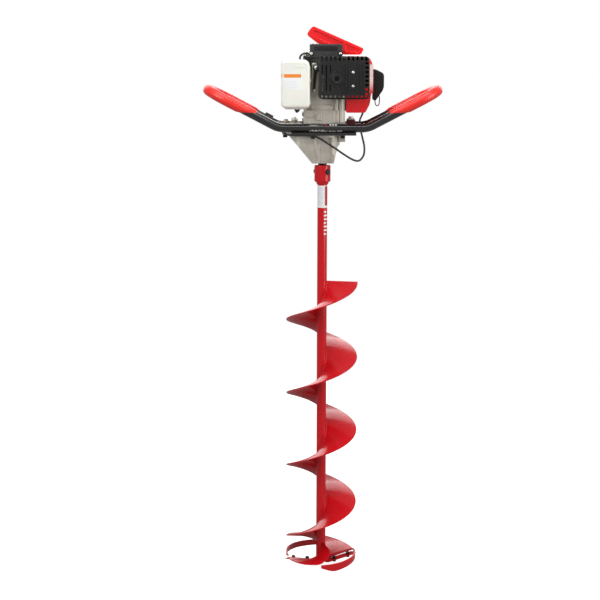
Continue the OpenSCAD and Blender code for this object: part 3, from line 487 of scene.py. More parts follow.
CABLE = [(101, 72, 1285), (110, 71, 1283), (116, 65, 1270), (115, 56, 1242), (111, 50, 1216),
         (106, 47, 1197), (101, 40, 1185), (97, 26, 1178), (95, 10, 1170), (96, -4, 1156),
         (101, -15, 1134), (106, -24, 1110), (104, -34, 1089), (92, -42, 1076), (76, -47, 1079),
         (56, -51, 1091), (34, -55, 1106), (10, -59, 1122), (-10, -61, 1134), (-28, -61, 1140),
         (-50, -59, 1141), (-72, -57, 1141), (-90, -50, 1142), (-103, -36, 1149),
         (-108, -18, 1154), (-108, 0, 1156), (-109, 14, 1157), (-112, 25, 1159), (-118, 33, 1162),
         (-125, 36, 1165.7), (-131.3, 36, 1169)]
LEAD = [(143, 0, 1239), (144.5, 0.4, 1233), (144.5, 1, 1225), (144, 1.5, 1219),
        (142.4, 2, 1214.6), (139, 2.5, 1212.5), (135.6, 3, 1214.6), (134, 3.3, 1219),
        (133, 3.5, 1226.3)]
FUEL = [(-68, -62, 1204), (-66, -52, 1200), (-61, -38, 1204), (-56, -20, 1214), (-54, 2, 1226),
        (-54, 26, 1238), (-48, 46, 1248), (-28, 56, 1256), (0, 58, 1264), (34, 58, 1270),
        (66, 58, 1270)]
VENT = [(-58, -66, 1330), (-58, -66, 1337), (-53, -64, 1343), (-43, -57, 1346), (-34, -47, 1346)]


def make_cords():
    cord_curve("throttle_cable", CABLE, 5, "frame", BLACK_RUBBER, "control_cable")
    cord_curve("plug_wire", LEAD, 2.5, "frame", BLACK_RUBBER, "plug_lead")
    cord_curve("fuel_hose", FUEL, 6, "frame", BLACK_RUBBER, "fuel_line")
    cord_curve("vent_hose", VENT, 5, "frame", BLACK_RUBBER, "fuel_line")


make_cords()


# ------------------------------------------------------------------ auger
HEAD_STEPS = [(-348, 16.3), (-334, 22), (-290, 33), (-180, 69), (1080, 756)]
HEAD_RISE = [(-348, -16), (-300, -8), (-240, 0), (1080, 0)]
SECOND_STEPS = [(12, 16.3), (63, 16.5), (91, 20), (118, 38)]
SECOND_RISE = [(12, -17), (30, -15), (63, 2), (91, 16), (118, 12)]
SECOND_REACH = [(12, 93), (85, 93), (105, 76), (118, 50)]
BLADE_TURN = 20.0
FOLD_OFFSET = 1.5
ROOT_R = TUBE_R - 0.4


def fold_reach(turn, r):
    """How far out the sheet reaches at a turn, cut off along the skewed line of the blade."""
    if turn >= BLADE_TURN - math.degrees(math.asin(FOLD_OFFSET / r)):
        return r
    return min(r, FOLD_OFFSET / math.sin(math.radians(BLADE_TURN - turn)))


def half_thickness(climb, r):
    """Half the sheet's thickness along Z at a radius, where it climbs so many mm a degree."""
    return FLIGHT_T / 2 * math.sqrt(1 + (climb * 180 / math.pi / r) ** 2)


def sheet_height(base, rise, r):
    """Height of the sheet's middle at a radius: base at the rim, and base + rise at the root."""
    return base + rise * (FLIGHT_R - r) / (FLIGHT_R - ROOT_R)


def flight_sheet(steps, rises, reach, first, last, lead, turned=0.0, step=2.0):
    """Radial sheet with an eased rim. Seven points across: root, rim and back to the root."""
    count = int((last - first) / step) + 1
    turns = [first + step * i for i in range(count)]
    base = [lookup(a, steps) for a in turns]
    rise = [lookup(a, rises) for a in turns]
    verts, faces = [], []
    for i, a in enumerate(turns):
        j, k = max(i - 1, 0), min(i + 1, count - 1)
        climb = (base[k] - base[j]) / (turns[k] - turns[j])
        r_out = max(ROOT_R + 2.0, fold_reach(a - lead, lookup(a, reach)))
        root, rim = (sheet_height(base[i], rise[i], r) for r in (ROOT_R, r_out))
        root_half, rim_half = half_thickness(climb, ROOT_R), half_thickness(climb, r_out)
        c, s = math.cos(math.radians(a + turned)), math.sin(math.radians(a + turned))
        section = [(ROOT_R, root - root_half),
                   (r_out - 1.1, rim - rim_half),
                   (r_out - 0.3, rim - rim_half * 0.75),
                   (r_out, rim),
                   (r_out - 0.3, rim + rim_half * 0.75),
                   (r_out - 1.1, rim + rim_half),
                   (ROOT_R, root + root_half)]
        verts += [(r * c, r * s, z) for r, z in section]
    n = 7
    for i in range(count - 1):
        for k in range(n):
            m = (k + 1) % n
            faces.append((n * i + k, n * i + m, n * i + n + m, n * i + n + k))
    faces += [tuple(range(n)), tuple(range(n * (count - 1), n * count))]
    return verts, faces


def weld_bead(side, first, last, r, width):
    """Rippled bead along the root of the flight, on its upper (1) or lower (-1) side."""
    path = []
    for i in range(int((last - first) / 3) + 1):
        a = first + 3 * i
        lift = half_thickness(FLIGHT_PITCH / 360, r) + 0.4
        z = lookup(a, HEAD_STEPS) + lookup(a, HEAD_RISE) + side * lift
        path.append((r * math.cos(math.radians(a)), r * math.sin(math.radians(a)), z))
    return sweep(path, lambda p, out, i: width * (1 + 0.22 * math.sin(i * 1.9)
                                                  + 0.1 * math.sin(i * 0.37)), 8)


def patch_faces(n):
    """Faces of a thin curved patch whose points come in fours, two inside and two outside."""
    faces = []
    for b in range(0, 4 * n, 4):
        faces += [(b, b + 1, b + 5, b + 4), (b + 2, b + 3, b + 7, b + 6), (b, b + 2, b + 6, b + 4),
                  (b + 1, b + 3, b + 7, b + 5)]
    return faces + [(0, 1, 3, 2), (4 * n, 4 * n + 1, 4 * n + 3, 4 * n + 2)]


def tube_wrap(a0, a1, z0, z1, r, n=14):
    """Thin patch round the auger tube; turns are counted from the front towards +X."""
    verts = []
    for i in range(n + 1):
        a = math.radians(a0 + (a1 - a0) * i / n)
        for radius in (TUBE_R - 0.3, r):
            for z in (z0, z1):
                verts.append((radius * math.sin(a), -radius * math.cos(a), z))
    return verts, patch_faces(n)


def make_auger():
    polish("auger_tube", RED_PAINT, 0.3)
    piece("flight", [flight_sheet(HEAD_STEPS, HEAD_RISE,
                                  [(-348, FLIGHT_R), (1080, FLIGHT_R)], -348, 1080, -360)],
          "auger", RED_PAINT, ["auger_flight"], angle=40)
    piece("lead_flight", [flight_sheet(SECOND_STEPS, SECOND_RISE, SECOND_REACH, 12, 116, 0, 180)],
          "auger", RED_PAINT, ["second_flight"], angle=40)
    piece("flight_weld", [weld_bead(side, -306, 1078, TUBE_R + 0.5, 1.5) for side in (1, -1)],
          "auger", RED_PAINT, angle=60)
    for node in ("blade_holders", "centering_bands"):
        polish(node, RED_PAINT, 0.6)
    polish("ice_blades", STAINLESS, 0.15)
    for node in ("blade_bolts", "centre_point", "coupler_bolt"):
        polish(node, DARK_STEEL, 0.4)
    polish("coupler", RED_PAINT, 0.6)
    polish("output_shaft", DARK_STEEL, 0.4)
    polish("output_gear", MACHINED, 0.2)
    piece("wrap_white", [tube_wrap(-178, 178, 952, 1009, TUBE_R + 0.12, 60)], "auger", WHITE_PRINT)
    piece("wrap_pale", [tube_wrap(-80, 12, 955, 1006, TUBE_R + 0.2)], "auger", PALE_PRINT)
    piece("wrap_red", [tube_wrap(28, 84, 957, 1007, TUBE_R + 0.2)], "auger", RED_PRINT)
    piece("wrap_lines", [tube_wrap(-66, 0, z, z + 1.0, TUBE_R + 0.26) for z in range(961, 1002, 5)],
          "auger", GREY_PRINT)
    marks = []
    for i in range(7):
        z = 882 + 9.5 * i
        marks.append(tube_wrap(20, 76 if i % 3 else 52, z, z + 4.2, TUBE_R + 0.14, 6))
    piece("tube_marks", marks, "auger", WHITE_PRINT)


make_auger()


# ------------------------------------------------------------------ handlebar
def quarter_path():
    """Centre line of the front right quarter of the loop, from its middle to its far end."""
    path = [Vector((BEND_X * k / 14, -BAR_Y, BAR_Z)) for k in range(14)]
    for k in range(10):
        a = ARM_RISE * k / 9
        path.append(Vector((BEND_X + BEND_R * math.sin(a), -BAR_Y,
                            BAR_Z + BEND_R * (1 - math.cos(a)))))
    arm = path[-1]
    out = Vector((math.cos(ARM_RISE), 0, math.sin(ARM_RISE)))
    path += [arm + out * (ARM_LEN * k / 18) for k in range(1, 19)]
    end = Vector((path[-1].x, 0, path[-1].z))
    for k in range(1, 19):
        a = math.pi / 2 * k / 18
        path.append(end + out * (BAR_Y * math.sin(a)) + Vector((0, -BAR_Y * math.cos(a), 0)))
    return path


def half_path():
    """Centre line of the right half of the loop, from its front middle to its back middle."""
    front = quarter_path()
    back = [Vector((p.x, -p.y, p.z)) for p in reversed(front[:-1])]
    return front + back


def loop_path():
    """Centre line of the whole closed loop."""
    right = half_path()
    left = [Vector((-p.x, p.y, p.z)) for p in reversed(right[1:-1])]
    return right + left


def grip_radius(p, out, i):
    """Radius of the dipped skin, which thins out at the dip line. sweep() passes all three."""
    above = p.z + BAR_R * out.z - DIP_Z
    t = min(1.0, max(0.0, above / 5.0))
    return BAR_R + 0.12 + (GRIP_T - 0.12) * t * t * (3 - 2 * t)


def dipped_grip(side):
    """Vinyl skin round one end of the loop, cut off level at the dip line."""
    path = [p for p in half_path() if p.z > DIP_Z - 14]
    fine = []
    for a, b in zip(path, path[1:]):
        fine += [a, a.lerp(b, 0.5)]
    fine.append(path[-1])
    fine = [Vector((p.x * side, p.y, p.z)) for p in fine]
    obj = build("grip_right" if side > 0 else "grip_left", [sweep(fine, grip_radius, 36)])
    bm = bmesh.new()
    bm.from_mesh(obj.data)
    bmesh.ops.bisect_plane(bm, geom=bm.verts[:] + bm.edges[:] + bm.faces[:], plane_no=(0, 0, 1),
                           plane_co=(0, 0, DIP_Z * MM), clear_inner=True)
    bmesh.ops.holes_fill(bm, edges=[e for e in bm.edges if e.is_boundary])
    bmesh.ops.recalc_face_normals(bm, faces=bm.faces)
    bm.to_mesh(obj.data)
    bm.free()
    node = "right_grip" if side > 0 else "left_grip"
    return dress(obj, "frame", RED_VINYL, [node], angle=50)


def bar_patch(x0, x1, a0, a1):
    """Thin patch on the front tube; angles are counted from the front upwards."""
    verts = []
    n = 4
    for k in range(n + 1):
        a = math.radians(a0 + (a1 - a0) * k / n)
        for r in (BAR_R - 0.2, BAR_R + 0.1):
            for x in (x0, x1):
                verts.append((x, -BAR_Y - r * math.cos(a), BAR_Z + r * math.sin(a)))
    return verts, patch_faces(n)


def make_handlebar():
    piece("handlebar", [sweep(loop_path(), BAR_R, 36, closed=True)], "frame", BLACK_PAINT,
          ["handlebar_loop"], angle=60)
    for side in (1, -1):
        dipped_grip(side)
    polish("handlebar_plate", BLACK_PAINT, 0.8)
    marks = [bar_patch(-34 + 7 * i, -34 + 7 * i + (5.5 if i % 3 else 3.2), -46, -36)
             for i in range(12)]
    marks += [bar_patch(-30 + 9 * i, -25 + 9 * i, -30, -24) for i in range(4)]
    marks += [bar_patch(16 + 7 * i, 21 + 7 * i, 40, 58) for i in range(3)]
    piece("bar_marks", marks, "frame", WHITE_PRINT)
    piece("bar_mark_red", [bar_patch(4, 10, 38, 62)], "frame", RED_PRINT)
    # rubber blocks, washers and bolts between the power head and the loop
    piece("mount_block", [prism(rounded(61, -18, 83, 18, 3), "z", 1148.5, 1178)], "frame",
          DARK_RED, ["handlebar_blocks"], bevel=1.2)
    caps, bolts = [prism(rounded(62.5, -17, 81.5, 17, 3), "z", 1177.9, 1180.6)], []
    for y in (-9, 9):
        bolts += hex_head((72, y, 1180.6), (0, 0, 1), 11, 5.3, 1.8)
    posts = [lathe([(0, 0), (9.5, 0), (9.5, 6), (7.5, 8), (7.5, 12), (9, 14), (9, 20), (0, 20)],
                   (-94, 0, 1154.2), (0, 0, 1))]
    for y in (-22, 22):
        posts.append(lathe([(0, 0), (8, 0), (8, 4), (6, 6), (6, 8), (8, 10), (8, 14), (0, 14)],
                           (-72, y, 1164.2), (0, 0, 1)))
        bolts += hex_head((-72, y, 1178.2), (0, 0, 1), 8, 4.5, 1.5)
    bolts += hex_head((-94, 0, 1174.2), (0, 0, 1), 10, 5, 1.5)
    piece("mount_caps", caps, "frame", ZINC, bevel=0.3)
    piece("mount_posts", posts, "frame", KHAKI, bevel=0.5)
    piece("mount_bolts", bolts, "frame", ZINC, bevel=0.2)


make_handlebar()


# ------------------------------------------------------------------ gearbox and castings
def make_castings():
    polish("gearbox_housing", CAST, 0.6)
    polish("gearbox_cover", CAST, 0.8)
    polish("gearbox_bolts", DARK_STEEL, 0.5)
    polish("clutch_housing", CAST, 1.2)
    polish("crankcase", CAST, 1.2)
    polish("engine_cylinder", CAST, 0.4)
    polish("oil_seal", BLACK_RUBBER, 0.3)
    for node in ("gear_bearings", "idler_gears", "drum_pinion", "clutch_shoe_a", "clutch_shoe_b",
                 "crankshaft", "crank_bearings"):
        polish(node, MACHINED, 0)
    for node in ("flywheel_fan", "piston"):
        polish(node, CAST, 0)
    ribs = []
    for side in (-1, 1):
        ribs.append(sweep(spline([(-21, side * 44, 1134), (-19, side * 44, 1121),
                                  (-15, side * 38, 1100), (-12, side * 30, 1082),
                                  (-11, side * 26.5, 1069)], 5), 4.6, 14))
        ribs.append(sweep([(24, side * 44, 1134), (24, side * 42, 1110), (20, side * 27, 1070)],
                          2.6, 12))
        ribs.append(sweep([(-52, side * 43, 1134), (-38, side * 36, 1108),
                           (-22, side * 24, 1076)], 2.4, 12))
    piece("gearbox_ribs", ribs, "frame", CAST, angle=60)
    columns = []
    for x, r in ((34, 4.2), (47, 5.6)):
        for side in (-1, 1):
            columns.append(rod((x, side * 41, 1172.5), (x, side * 41, 1296), r))
    piece("case_columns", columns, "frame", CAST, bevel=0.8)
    flanges = [prism(rounded(-47, -42, 57.5, 42, 5), "z", z, z + 3) for z in (1202.5, 1295)]
    piece("case_joints", flanges, "frame", CAST_DARK, bevel=0.6)
    bolts = []
    for x in (-38, 14):
        for side in (-1, 1):
            bolts += hex_head((x, side * 40, 1212 if x > 0 else 1226), (0, side, 0), 8, 4, 1.4)
    for y in (-28, 28):
        for z in (1176, 1192):
            bolts += hex_head((-49, y, z), (-1, 0, 0), 8, 4, 1.4)
    piece("case_bolts", bolts, "frame", ZINC, bevel=0.2)
    pads = [prism(rounded(-18, 1178, -4, 1194, 2), "y", -47.4, -43),
            prism(rounded(-16, 1181, -9, 1191, 1.5), "y", -48.4, -46),
            prism(rounded(-2, 1262, 22, 1290, 4), "y", -42.5, -39),
            prism(rounded(-34, 1226, 22, 1252, 4), "y", 39, 42)]
    piece("case_pads", pads, "frame", CAST, bevel=0.8)


make_castings()


# ------------------------------------------------------------------ shroud, plug cover
def painted_highlight_band():
    """Painted highlight: a pale stripe standing for the light the shroud's corner reflects, running
    out into the red below it.
    """
    m = surface("painted_highlight_band", (0.78, 0.60, 0.54), 0.25, spread=0.03, depth=0.05)
    nodes, links = m.node_tree.nodes, m.node_tree.links
    ramp = next(n for n in nodes if n.type == "VALTORGB")
    shader = nodes["Principled BSDF"]
    height = nodes.new("ShaderNodeSeparateXYZ")
    level = nodes.new("ShaderNodeMapRange")
    mix = nodes.new("ShaderNodeMix")
    mix.data_type = "RGBA"
    coords = next(n for n in nodes if n.type == "TEX_COORD")
    links.new(coords.outputs["Object"], height.inputs["Vector"])
    level.inputs["From Min"].default_value = 1.248
    level.inputs["From Max"].default_value = 1.276
    links.new(height.outputs["Z"], level.inputs["Value"])
    links.new(level.outputs["Result"], mix.inputs["Factor"])
    mix.inputs["A"].default_value = (0.62, 0.010, 0.012, 1)
    links.new(ramp.outputs["Color"], mix.inputs["B"])
    links.new(mix.outputs["Result"], shader.inputs["Base Color"])
    return m


def make_shroud():
    side = eased([(58, 1197), (107, 1197), (118, 1218), (121, 1238), (126, 1262), (126, 1300),
                  (124, 1322), (117, 1334), (108, 1338), (58, 1338)], 5)
    inside = eased([(50, 1200), (105.3, 1200), (114.8, 1219), (117.8, 1239), (122.6, 1262.5),
                    (122.6, 1299), (121, 1320), (115, 1331), (107, 1335), (50, 1335)], 4)
    obj = build("shroud", [prism(side, "y", -43, 43)])
    corner = [(114, -46), (130, -46), (130, -30)]
    carve(obj, [prism([(x, y * end) for x, y in corner], "z", 1180, 1350) for end in (1, -1)])
    carve(obj, [prism(inside, "y", -40, 40)])
    slots = [prism(rounded(68, -50, 112, -38, 0.5), "z", CYL_Z + 2, CYL_Z + 36)]
    for z in (1222, 1230, 1290, 1298, 1306, 1314):
        slots.append(prism(rounded(70, z, 108, z + 3.5, 1.6), "y", 36, 60))
    slots.append(prism(rounded(62, CYL_Z - 24, 108, CYL_Z + 16, 2), "y", 36, 60))
    carve(obj, slots)
    dress(obj, "frame", RED_PLASTIC, ["cylinder_shroud"], bevel=1.6, segments=3)
    # painted highlight: the pale strips on both corner chamfers stand for reflected light, not for
    # a print
    highlight_outline = [(117.4, -43), (126.4, -34), (126, -33.6), (117, -42.6)]
    for end, name in ((1, "shroud_painted_highlight"), (-1, "shroud_painted_highlight_back")):
        strip = prism([(x, y * end) for x, y in highlight_outline], "z", 1246, 1318)
        piece(name, [strip], "frame", painted_highlight_band(), bevel=0.1)
    cover = eased([(126.5, 1228), (134, 1226), (152, 1252), (155, 1262), (155, 1290),
                   (152, 1296), (134, 1305), (126.5, 1305)], 3)
    cap = build("plug_hood", [prism(cover, "y", -17, 17)])
    hollow = [(120, 1240), (131, 1240), (147, 1258), (149, 1288), (133, 1298), (120, 1298)]
    carve(cap, [prism(hollow, "y", -14, 14)])
    dress(cap, "frame", BLACK_PLASTIC, ["plug_cover"], bevel=1.8, segments=3)
    ribs = [prism([(134, 1232), (150, 1256), (151.5, 1256), (151.5, 1290), (134, 1300)],
                  "y", y - 0.9, y + 0.9) for y in (-17.2, 17.2)]
    piece("plug_hood_ribs", ribs, "frame", BLACK_PLASTIC, bevel=0.5)
    polish("spark_plug", CERAMIC, 0.3)


make_shroud()


# ------------------------------------------------------------------ muffler and its guard
GUARD_X = (-12, 115)
GUARD_Z = (1233, 1339)
GUARD_Y = -100
RING_X, RING_Z = 33.5, 1283.5


def make_guard():
    x0, x1 = GUARD_X
    z0, z1 = GUARD_Z
    outer = build("muffler_cover", [prism(rounded(x0, z0, x1, z1, 12, 6), "y", GUARD_Y, -66)])
    soften(outer, 3.2, 3, 40)
    carve(outer, [prism(rounded(x0 + 3, z0 + 3, x1 - 3, z1 - 3, 9, 6), "y", GUARD_Y + 3, -60)])
    cuts = []
    for k in range(11):
        x = x0 + 5.7 + 11 * k
        cuts.append(prism(rounded(x, z1 - 11, x + 5.4, z1 + 4, 2.4), "y", GUARD_Y - 4, -80))
        cuts.append(prism(rounded(x, z0 - 4, x + 5.4, z0 + 10, 2.4), "y", GUARD_Y - 4, -80))
    for k in range(8):
        z = z0 + 11.2 + 10.8 * k
        cuts.append(prism(rounded(x1 - 11, z, x1 + 4, z + 5.4, 2.4), "y", GUARD_Y - 4, -80))
    for x in (-4.6, 5.4):
        cuts.append(prism(rounded(x, 1254, x + 3.6, 1318, 1.5), "y", GUARD_Y - 4, -90))
    for low, high in ((1254, 1270), (1298, 1318)):
        cuts.append(prism(rounded(15.4, low, 19, high, 1.5), "y", GUARD_Y - 4, -90))
    cuts.append(prism(circle(RING_X, RING_Z, 5.2), "y", GUARD_Y - 6, -90))
    carve(outer, cuts)
    dress(outer, "frame", BLACK_PLASTIC, ["muffler_guard"])
    face = []
    for x in (48, 55.5, 63, 84, 91.5, 99):
        face.append(prism(rounded(x, 1248, x + 3, 1322, 1.3), "y", GUARD_Y - 1.6, GUARD_Y + 1))
    face.append(washer([(5.3, 0), (13.5, 0), (13.5, 2.2), (12, 3.2), (9.5, 3.2), (8, 1.8),
                        (5.3, 1.8)], (RING_X, GUARD_Y + 0.5, RING_Z), (0, -1, 0), 36))
    diamond = [(33.5, 1262), (53.5, 1284), (33.5, 1306), (13.5, 1284)]
    for k in range(4):
        a, b = Vector(diamond[k]), Vector(diamond[(k + 1) % 4])
        face.append(rod((a.x, GUARD_Y, a.y), (b.x, GUARD_Y, b.y), 1.7, 10))
    face.append(prism(rounded(66, 1256, 80, 1310, 4), "y", GUARD_Y - 1.2, GUARD_Y + 1))
    piece("cover_ribs", face, "frame", BLACK_PLASTIC, bevel=0.5)
    screws = []
    for z in (1266, 1300):
        screws += screw_head((73.5, GUARD_Y - 0.8, z), (0, -1, 0), 3.4, 2.2)
    piece("cover_screws", screws, "frame", ZINC, ["guard_screws"], bevel=0.15)
    polish("muffler", DARK_STEEL, 1.5, 3)


def make_bracket():
    """Linkage plate between the tank and the guard, with its round-headed lever."""
    plate_y = -60
    pin_x, pin_z = -18.5, 1309.5
    plate = [prism(eased([(-29, 1244), (-17, 1240), (-9.5, 1262), (-9.5, 1284), (-16, 1322),
                          (-29, 1322)], 2.5), "y", plate_y, plate_y + 2.5),
             prism(rounded(-29, 1288, -15, 1294, 1), "y", plate_y + 2, -40.2)]
    piece("link_plate", plate, "frame", KHAKI, ["guard_bracket"], bevel=0.5)
    lever = [lathe([(0, 0), (7.2, 0), (7.2, 2.2), (6.4, 3), (0, 3)], (pin_x, plate_y, pin_z),
                   (0, -1, 0)),
             prism(eased([(-24.5, 1308), (-12.5, 1308), (-16.5, 1290), (-20.5, 1254), (-25.5, 1250),
                          (-27, 1256), (-24.5, 1290)], 2), "y", plate_y - 2.8, plate_y - 0.2)]
    piece("link_lever", lever, "frame", DARK_STEEL, bevel=0.4)
    heads = screw_head((pin_x, plate_y - 3, pin_z), (0, -1, 0), 5.2, 3)
    heads += hex_head((-22, plate_y - 0.1, 1254), (0, -1, 0), 6, 4, 1.2)
    heads += hex_head((-23, plate_y - 0.1, 1318), (0, -1, 0), 5, 3, 1)
    piece("link_screws", heads, "frame", ZINC, bevel=0.15)


make_guard()
make_bracket()


# ------------------------------------------------------------------ fuel tank
FILLER_X, FILLER_Z = -84, 1308


def wrapped(name, shell, lift, outlines, material):
    """Printed patch that follows the tank: its shell, lifted a little, where the outlines are."""
    mesh = shell.copy()
    obj = bpy.data.objects.new(name, mesh)
    scene.collection.objects.link(obj)
    for vertex, normal in zip(mesh.vertices, [v.normal.copy() for v in shell.vertices]):
        vertex.co += normal * lift * MM
    carve(obj, outlines, "INTERSECT")
    return dress(obj, "frame", material)


def make_tank():
    front = eased([(-105, 1211), (-33, 1211), (-33, 1318), (-42, 1330), (-105, 1330)], 12, 7)
    obj = build("tank", [prism(front, "y", -98, -43)])
    soften(obj, 9, 6)
    shell = obj.data.copy()
    neck = [lathe([(0, 0), (17, 0), (15, 5), (15, 14), (12.6, 14), (12.6, 2), (0, 2)],
                  (FILLER_X, -47.8, FILLER_Z), (0, 1, 0), 40)]
    carve(obj, neck, "UNION")
    dress(obj, "frame", TANK, ["fuel_tank"], bevel=0.8, angle=50)
    seam = [Vector((x, -70.5, z)) for x, z in front]
    extras = [sweep(seam, 0.9, 8, closed=True),
              lathe([(0, 0), (4.2, 0), (3.4, 2.4), (2, 3.2), (0, 3.4)], (-34, -84, 1279),
                    (1, 0, 0), 24),
              prism(rounded(-102, 1226, -98, 1310, 1.8), "y", -98.8, -97),
              prism(rounded(-70, 1311, -46, 1317, 2.5), "y", -98.6, -97)]
    piece("tank_seam", extras, "frame", TANK, bevel=0.3)
    label = prism(rounded(-104.6, 1257, -53, 1298, 1.5), "y", -100, -88)
    wrapped("tank_label", shell, 0.3, [label], WHITE_PRINT)
    stripe = prism(rounded(-104.5, 1286.7, -55.3, 1295.3, 0.8), "y", -100, -88)
    wrapped("tank_stripe", shell, 0.55, [stripe], ORANGE_PRINT)
    lines = [prism(rounded(-102, z, -62 if k % 2 else -66, z + 1.4, 0.3), "y", -100, -88)
             for k, z in enumerate((1261, 1265, 1269, 1273, 1277))]
    wrapped("tank_lines", shell, 0.55, lines, PALE_PRINT)
    polish("tank_bracket", CAST, 0.6)
    grommet = [lathe([(0, 0), (6.5, 0), (6.5, 2), (4.5, 3), (4.2, 8), (0, 8)], (-68, -62, 1211.5),
                     (0, 0, -1), 28)]
    piece("tank_grommet", grommet, "frame", BLACK_RUBBER)
    flutes = []
    for k in range(24):
        a = math.tau * k / 24
        x, z = FILLER_X + 17.4 * math.cos(a), FILLER_Z + 17.4 * math.sin(a)
        flutes.append(rod((x, -33.6, z), (x, -21.5, z), 1.5, 8))
    cap = lathe([(0, 0), (17, 0), (17.4, 1), (17.4, 11.5), (15.5, 13.6), (9, 14), (8, 12.8),
                 (0, 12.8)], (FILLER_X, -33.9, FILLER_Z), (0, 1, 0), 48)
    plug = lathe([(0, 0), (12, 0), (12, 10), (0, 10)], (FILLER_X, -43.6, FILLER_Z), (0, 1, 0), 32)
    piece("tank_cap", [cap, plug, *flutes], "cap", BLACK_PLASTIC, ["fuel_cap"],
          bevel=0.3)


make_tank()


# ------------------------------------------------------------------ intake side
def make_intake():
    polish("intake_block", BLACK_PLASTIC, 0.8)
    polish("carburetor", CAST, 0.8)
    polish("throttle_arm", ZINC, 0.2)
    details = [lathe([(0, 0), (15, 0), (15, 7), (12, 10), (4, 11), (4, 13), (0, 13)],
                     (84, 66, 1238), (0, 0, -1), 32)]
    details += hex_head((84, 66, 1225), (0, 0, -1), 8, 3)
    for x, z in ((70, 1243), (98, 1243), (70, 1273), (98, 1273)):
        details += screw_head((x, 80, z), (0, 1, 0), 3, 1.6)
    piece("carburetor_bowl", details, "frame", CAST, bevel=0.3)
    bulb = [(0, 0), (7.9, 0), (8.2, 1)] + [(7.9 * math.cos(a), 1.6 + 8.6 * math.sin(a))
                                           for a in [math.radians(d) for d in range(8, 90, 9)]]
    primer = piece("primer", [lathe(bulb + [(0, 10.2)], (60.9, 65, 1252), (-1, 0, 0), 36)],
                   "primer", RED_PLASTIC, ["primer_bulb"], angle=60)
    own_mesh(primer)
    outer = eased([(46, 1218), (120, 1218), (120, 1302), (46, 1302)], 12, 6)
    obj = build("air_box", [prism(outer, "y", 80.2, 118)])
    soften(obj, 4, 4)
    slots = [prism(rounded(60, z, 106, z + 3.2, 1.5), "y", 114, 124)
             for z in range(1230, 1296, 8)]
    carve(obj, slots)
    dress(obj, "frame", BLACK_PLASTIC, ["air_cleaner"], bevel=0.5)
    trim = [prism(rounded(46, 1218, 120, 1302, 12), "y", 96, 98.5)]
    piece("air_box_seam", trim, "frame", BLACK_RUBBER, bevel=0.3)
    knob = [lathe([(0, 0), (9, 0), (9, 2), (7, 3), (7, 7), (5.5, 8.4), (0, 8.6)],
                  (113, 111, 1260), (1, 0, 0), 12)]
    piece("air_box_knob", knob, "frame", BLACK_PLASTIC, bevel=0.6)
    polish("choke_lever", BLACK_PLASTIC, 0.8)


make_intake()


# ------------------------------------------------------------------ recoil starter
def make_recoil():
    polish("fan_housing", BLACK_PLASTIC, 0.4)
    polish("recoil_housing", GREY_PLASTIC, 1.6, 3)
    polish("recoil_pulley", BLACK_PLASTIC, 0)
    polish("stop_switch", RED_PLASTIC, 0.8)
    fins = []
    for k in range(9):
        a = math.radians(-10 + 22.5 * k)
        c, s = math.cos(a), math.sin(a)
        fins.append(sweep([(37.5 * c, 37.5 * s, 1338.6), (49 * c, 49 * s, 1338.6)], 1.5, 8))
    top = [prism(rounded(-28 + 9 * k, -46, -23 + 9 * k, -18, 1.6), "z", 1367.5, 1369)
           for k in range(8)]
    front = [prism(rounded(-22, 1352, 36, 1363, 3), "y", -50.9, -49.5)]
    piece("starter_ribs", fins + top + front, "frame", BLACK_PLASTIC,
          bevel=0.4)
    ears, screws = [], []
    for x in (-29.5, 43):
        ears.append(rod((x, -51.2, 1344.6), (x, -44, 1344.6), 6.5))
        screws += screw_head((x, -51.2, 1344.6), (0, -1, 0), 3.7, 2.4)
    for a in (60, 120, 200):
        x, y = 47 * math.cos(math.radians(a)), 47 * math.sin(math.radians(a))
        ears.append(rod((x, y, 1334.5), (x, y, 1339.6), 5.5))
        screws += screw_head((x, y, 1339.6), (0, 0, 1), 4, 2.4)
    piece("starter_ears", ears, "frame", BLACK_PLASTIC, bevel=0.5)
    piece("starter_screws", screws, "frame", ZINC, bevel=0.15)
    fitting = [rod((-50, -52, 1346), (-33, -47, 1346), 4.2, 20),
               *hex_head((-36, -48.5, 1346), (-1, -0.3, 0), 9, 5)]
    piece("vent_fitting", fitting, "frame", ZINC, bevel=0.3)


def make_grip():
    outline = [(-24, 1412.5), (-31, 1408), (-40.5, 1394), (-38, 1388), (-14, 1370), (30, 1350),
               (54, 1341.5), (93, 1341.5), (97, 1343), (103, 1355), (101, 1358)]
    obj = build("pull_grip", [prism(eased(outline, 3), "y", -4, 28)])
    soften(obj, 4, 4)
    left = eased([(-20, 1402), (-26, 1397), (-12, 1382), (32, 1363), (50, 1359), (50, 1371)], 2)
    right = eased([(57, 1368), (57, 1350), (90, 1347.5), (94, 1353)], 2)
    pockets = []
    for hollow in (left, right):
        pockets += [prism(hollow, "y", -8, -1), prism(hollow, "y", 25, 32)]
    carve(obj, pockets)
    pull = Vector((math.sin(PULL_LEAN), 0, math.cos(PULL_LEAN)))
    foot = Vector((22, 12, 1334))
    carve(obj, [rod(foot, foot + pull * 26, 2.7)])
    dress(obj, "grip", RED_PLASTIC, ["recoil_grip"], bevel=0.9, segments=3,
          angle=40)

    def strand(p, out, i):
        """Radius with low ridges that wind along the rope. sweep() passes all three."""
        return 2.0 + 0.12 * math.sin(i * 1.7 + 3 * math.atan2(out.y, out.x))

    start, end = foot + pull * 11, foot + pull * 22
    line = [start.lerp(end, k / 40) for k in range(41)]
    rope = build("pull_rope", [sweep(line, strand, 12)])
    for face in rope.data.polygons:
        face.use_smooth = True
    rope.data.materials.append(ROPE)
    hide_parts("recoil_rope")
    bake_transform(rope)
    bush = washer([(2.7, 0), (7, 0), (6, 3.2), (3.2, 3.6), (2.7, 3.6)], foot + pull * 11.2,
                  pull, 28)
    piece("rope_bush", [bush], "frame", ZINC)


make_recoil()
make_grip()


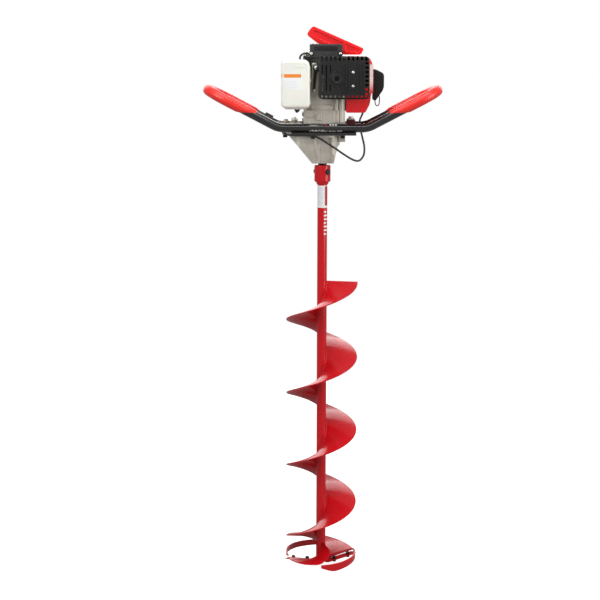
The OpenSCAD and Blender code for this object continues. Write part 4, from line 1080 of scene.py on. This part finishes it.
# ------------------------------------------------------------------ controls
def make_controls():
    polish("throttle_clamp", BLACK_PLASTIC, 1.0)
    polish("throttle_lever", RED_PLASTIC, 1.6, 3)


make_controls()


# ------------------------------------------------------------------ floor and light
def glow(name, strength, albedo=0.0):
    """Plain pale material that gives off its own light."""
    m = bpy.data.materials.new(name)
    m.use_nodes = True
    shader = m.node_tree.nodes["Principled BSDF"]
    shader.inputs["Base Color"].default_value = (albedo, albedo, albedo, 1)
    shader.inputs["Roughness"].default_value = 1.0
    shader.inputs["Specular IOR Level"].default_value = 0.0
    shader.inputs["Emission Color"].default_value = (1, 1, 1, 1)
    shader.inputs["Emission Strength"].default_value = strength
    return m


def seen_by_camera_only(obj):
    """A stage piece that is in the picture but neither lights nor shades the object."""
    obj.visible_diffuse = False
    obj.visible_glossy = False
    obj.visible_transmission = False
    obj.visible_shadow = False


def make_stage():
    low = cad_box[0].z - 0.0005
    bpy.ops.mesh.primitive_circle_add(vertices=96, radius=2.2, fill_type="NGON",
                                      location=(0, 0, low))
    floor = bpy.context.object
    floor.name = "floor"
    floor.data.materials.append(glow("pale_floor", 0.86, 0.5))
    seen_by_camera_only(floor)
    bpy.ops.mesh.primitive_uv_sphere_add(segments=48, ring_count=24, radius=30)
    backdrop = bpy.context.object
    backdrop.name = "backdrop"
    backdrop.data.materials.append(glow("pale_backdrop", 1.0))
    seen_by_camera_only(backdrop)
    world = bpy.data.worlds.new("world")
    scene.world = world
    world.use_nodes = True
    world.node_tree.nodes["Background"].inputs["Color"].default_value = (1, 1, 1, 1)
    world.node_tree.nodes["Background"].inputs["Strength"].default_value = 0.36
    lights = [("key", (-2.6, -2.8, 2.6), 2.6, 2.6, 88), ("fill", (3.2, -1.6, 1.6), 2.0, 2.6, 74),
              ("top", (0.0, -0.6, 3.8), 2.4, 1.2, 45), ("back", (0.0, 3.2, 2.4), 5.5, 2.8, 100),
              ("strip", (0.0, -2.3, 3.3), 2.6, 0.45, 15)]
    for name, at, wide, high, power in lights:
        data = bpy.data.lights.new(name, "AREA")
        data.shape = "RECTANGLE"
        data.size = wide
        data.size_y = high
        data.energy = power
        lamp = bpy.data.objects.new(name, data)
        lamp.visible_camera = False
        scene.collection.objects.link(lamp)
        lamp.location = at
        lamp.rotation_euler = (Vector((0, 0, 0.9)) - Vector(at)).to_track_quat("-Z", "Y").to_euler()
    scene.view_settings.view_transform = "Standard"


make_stage()
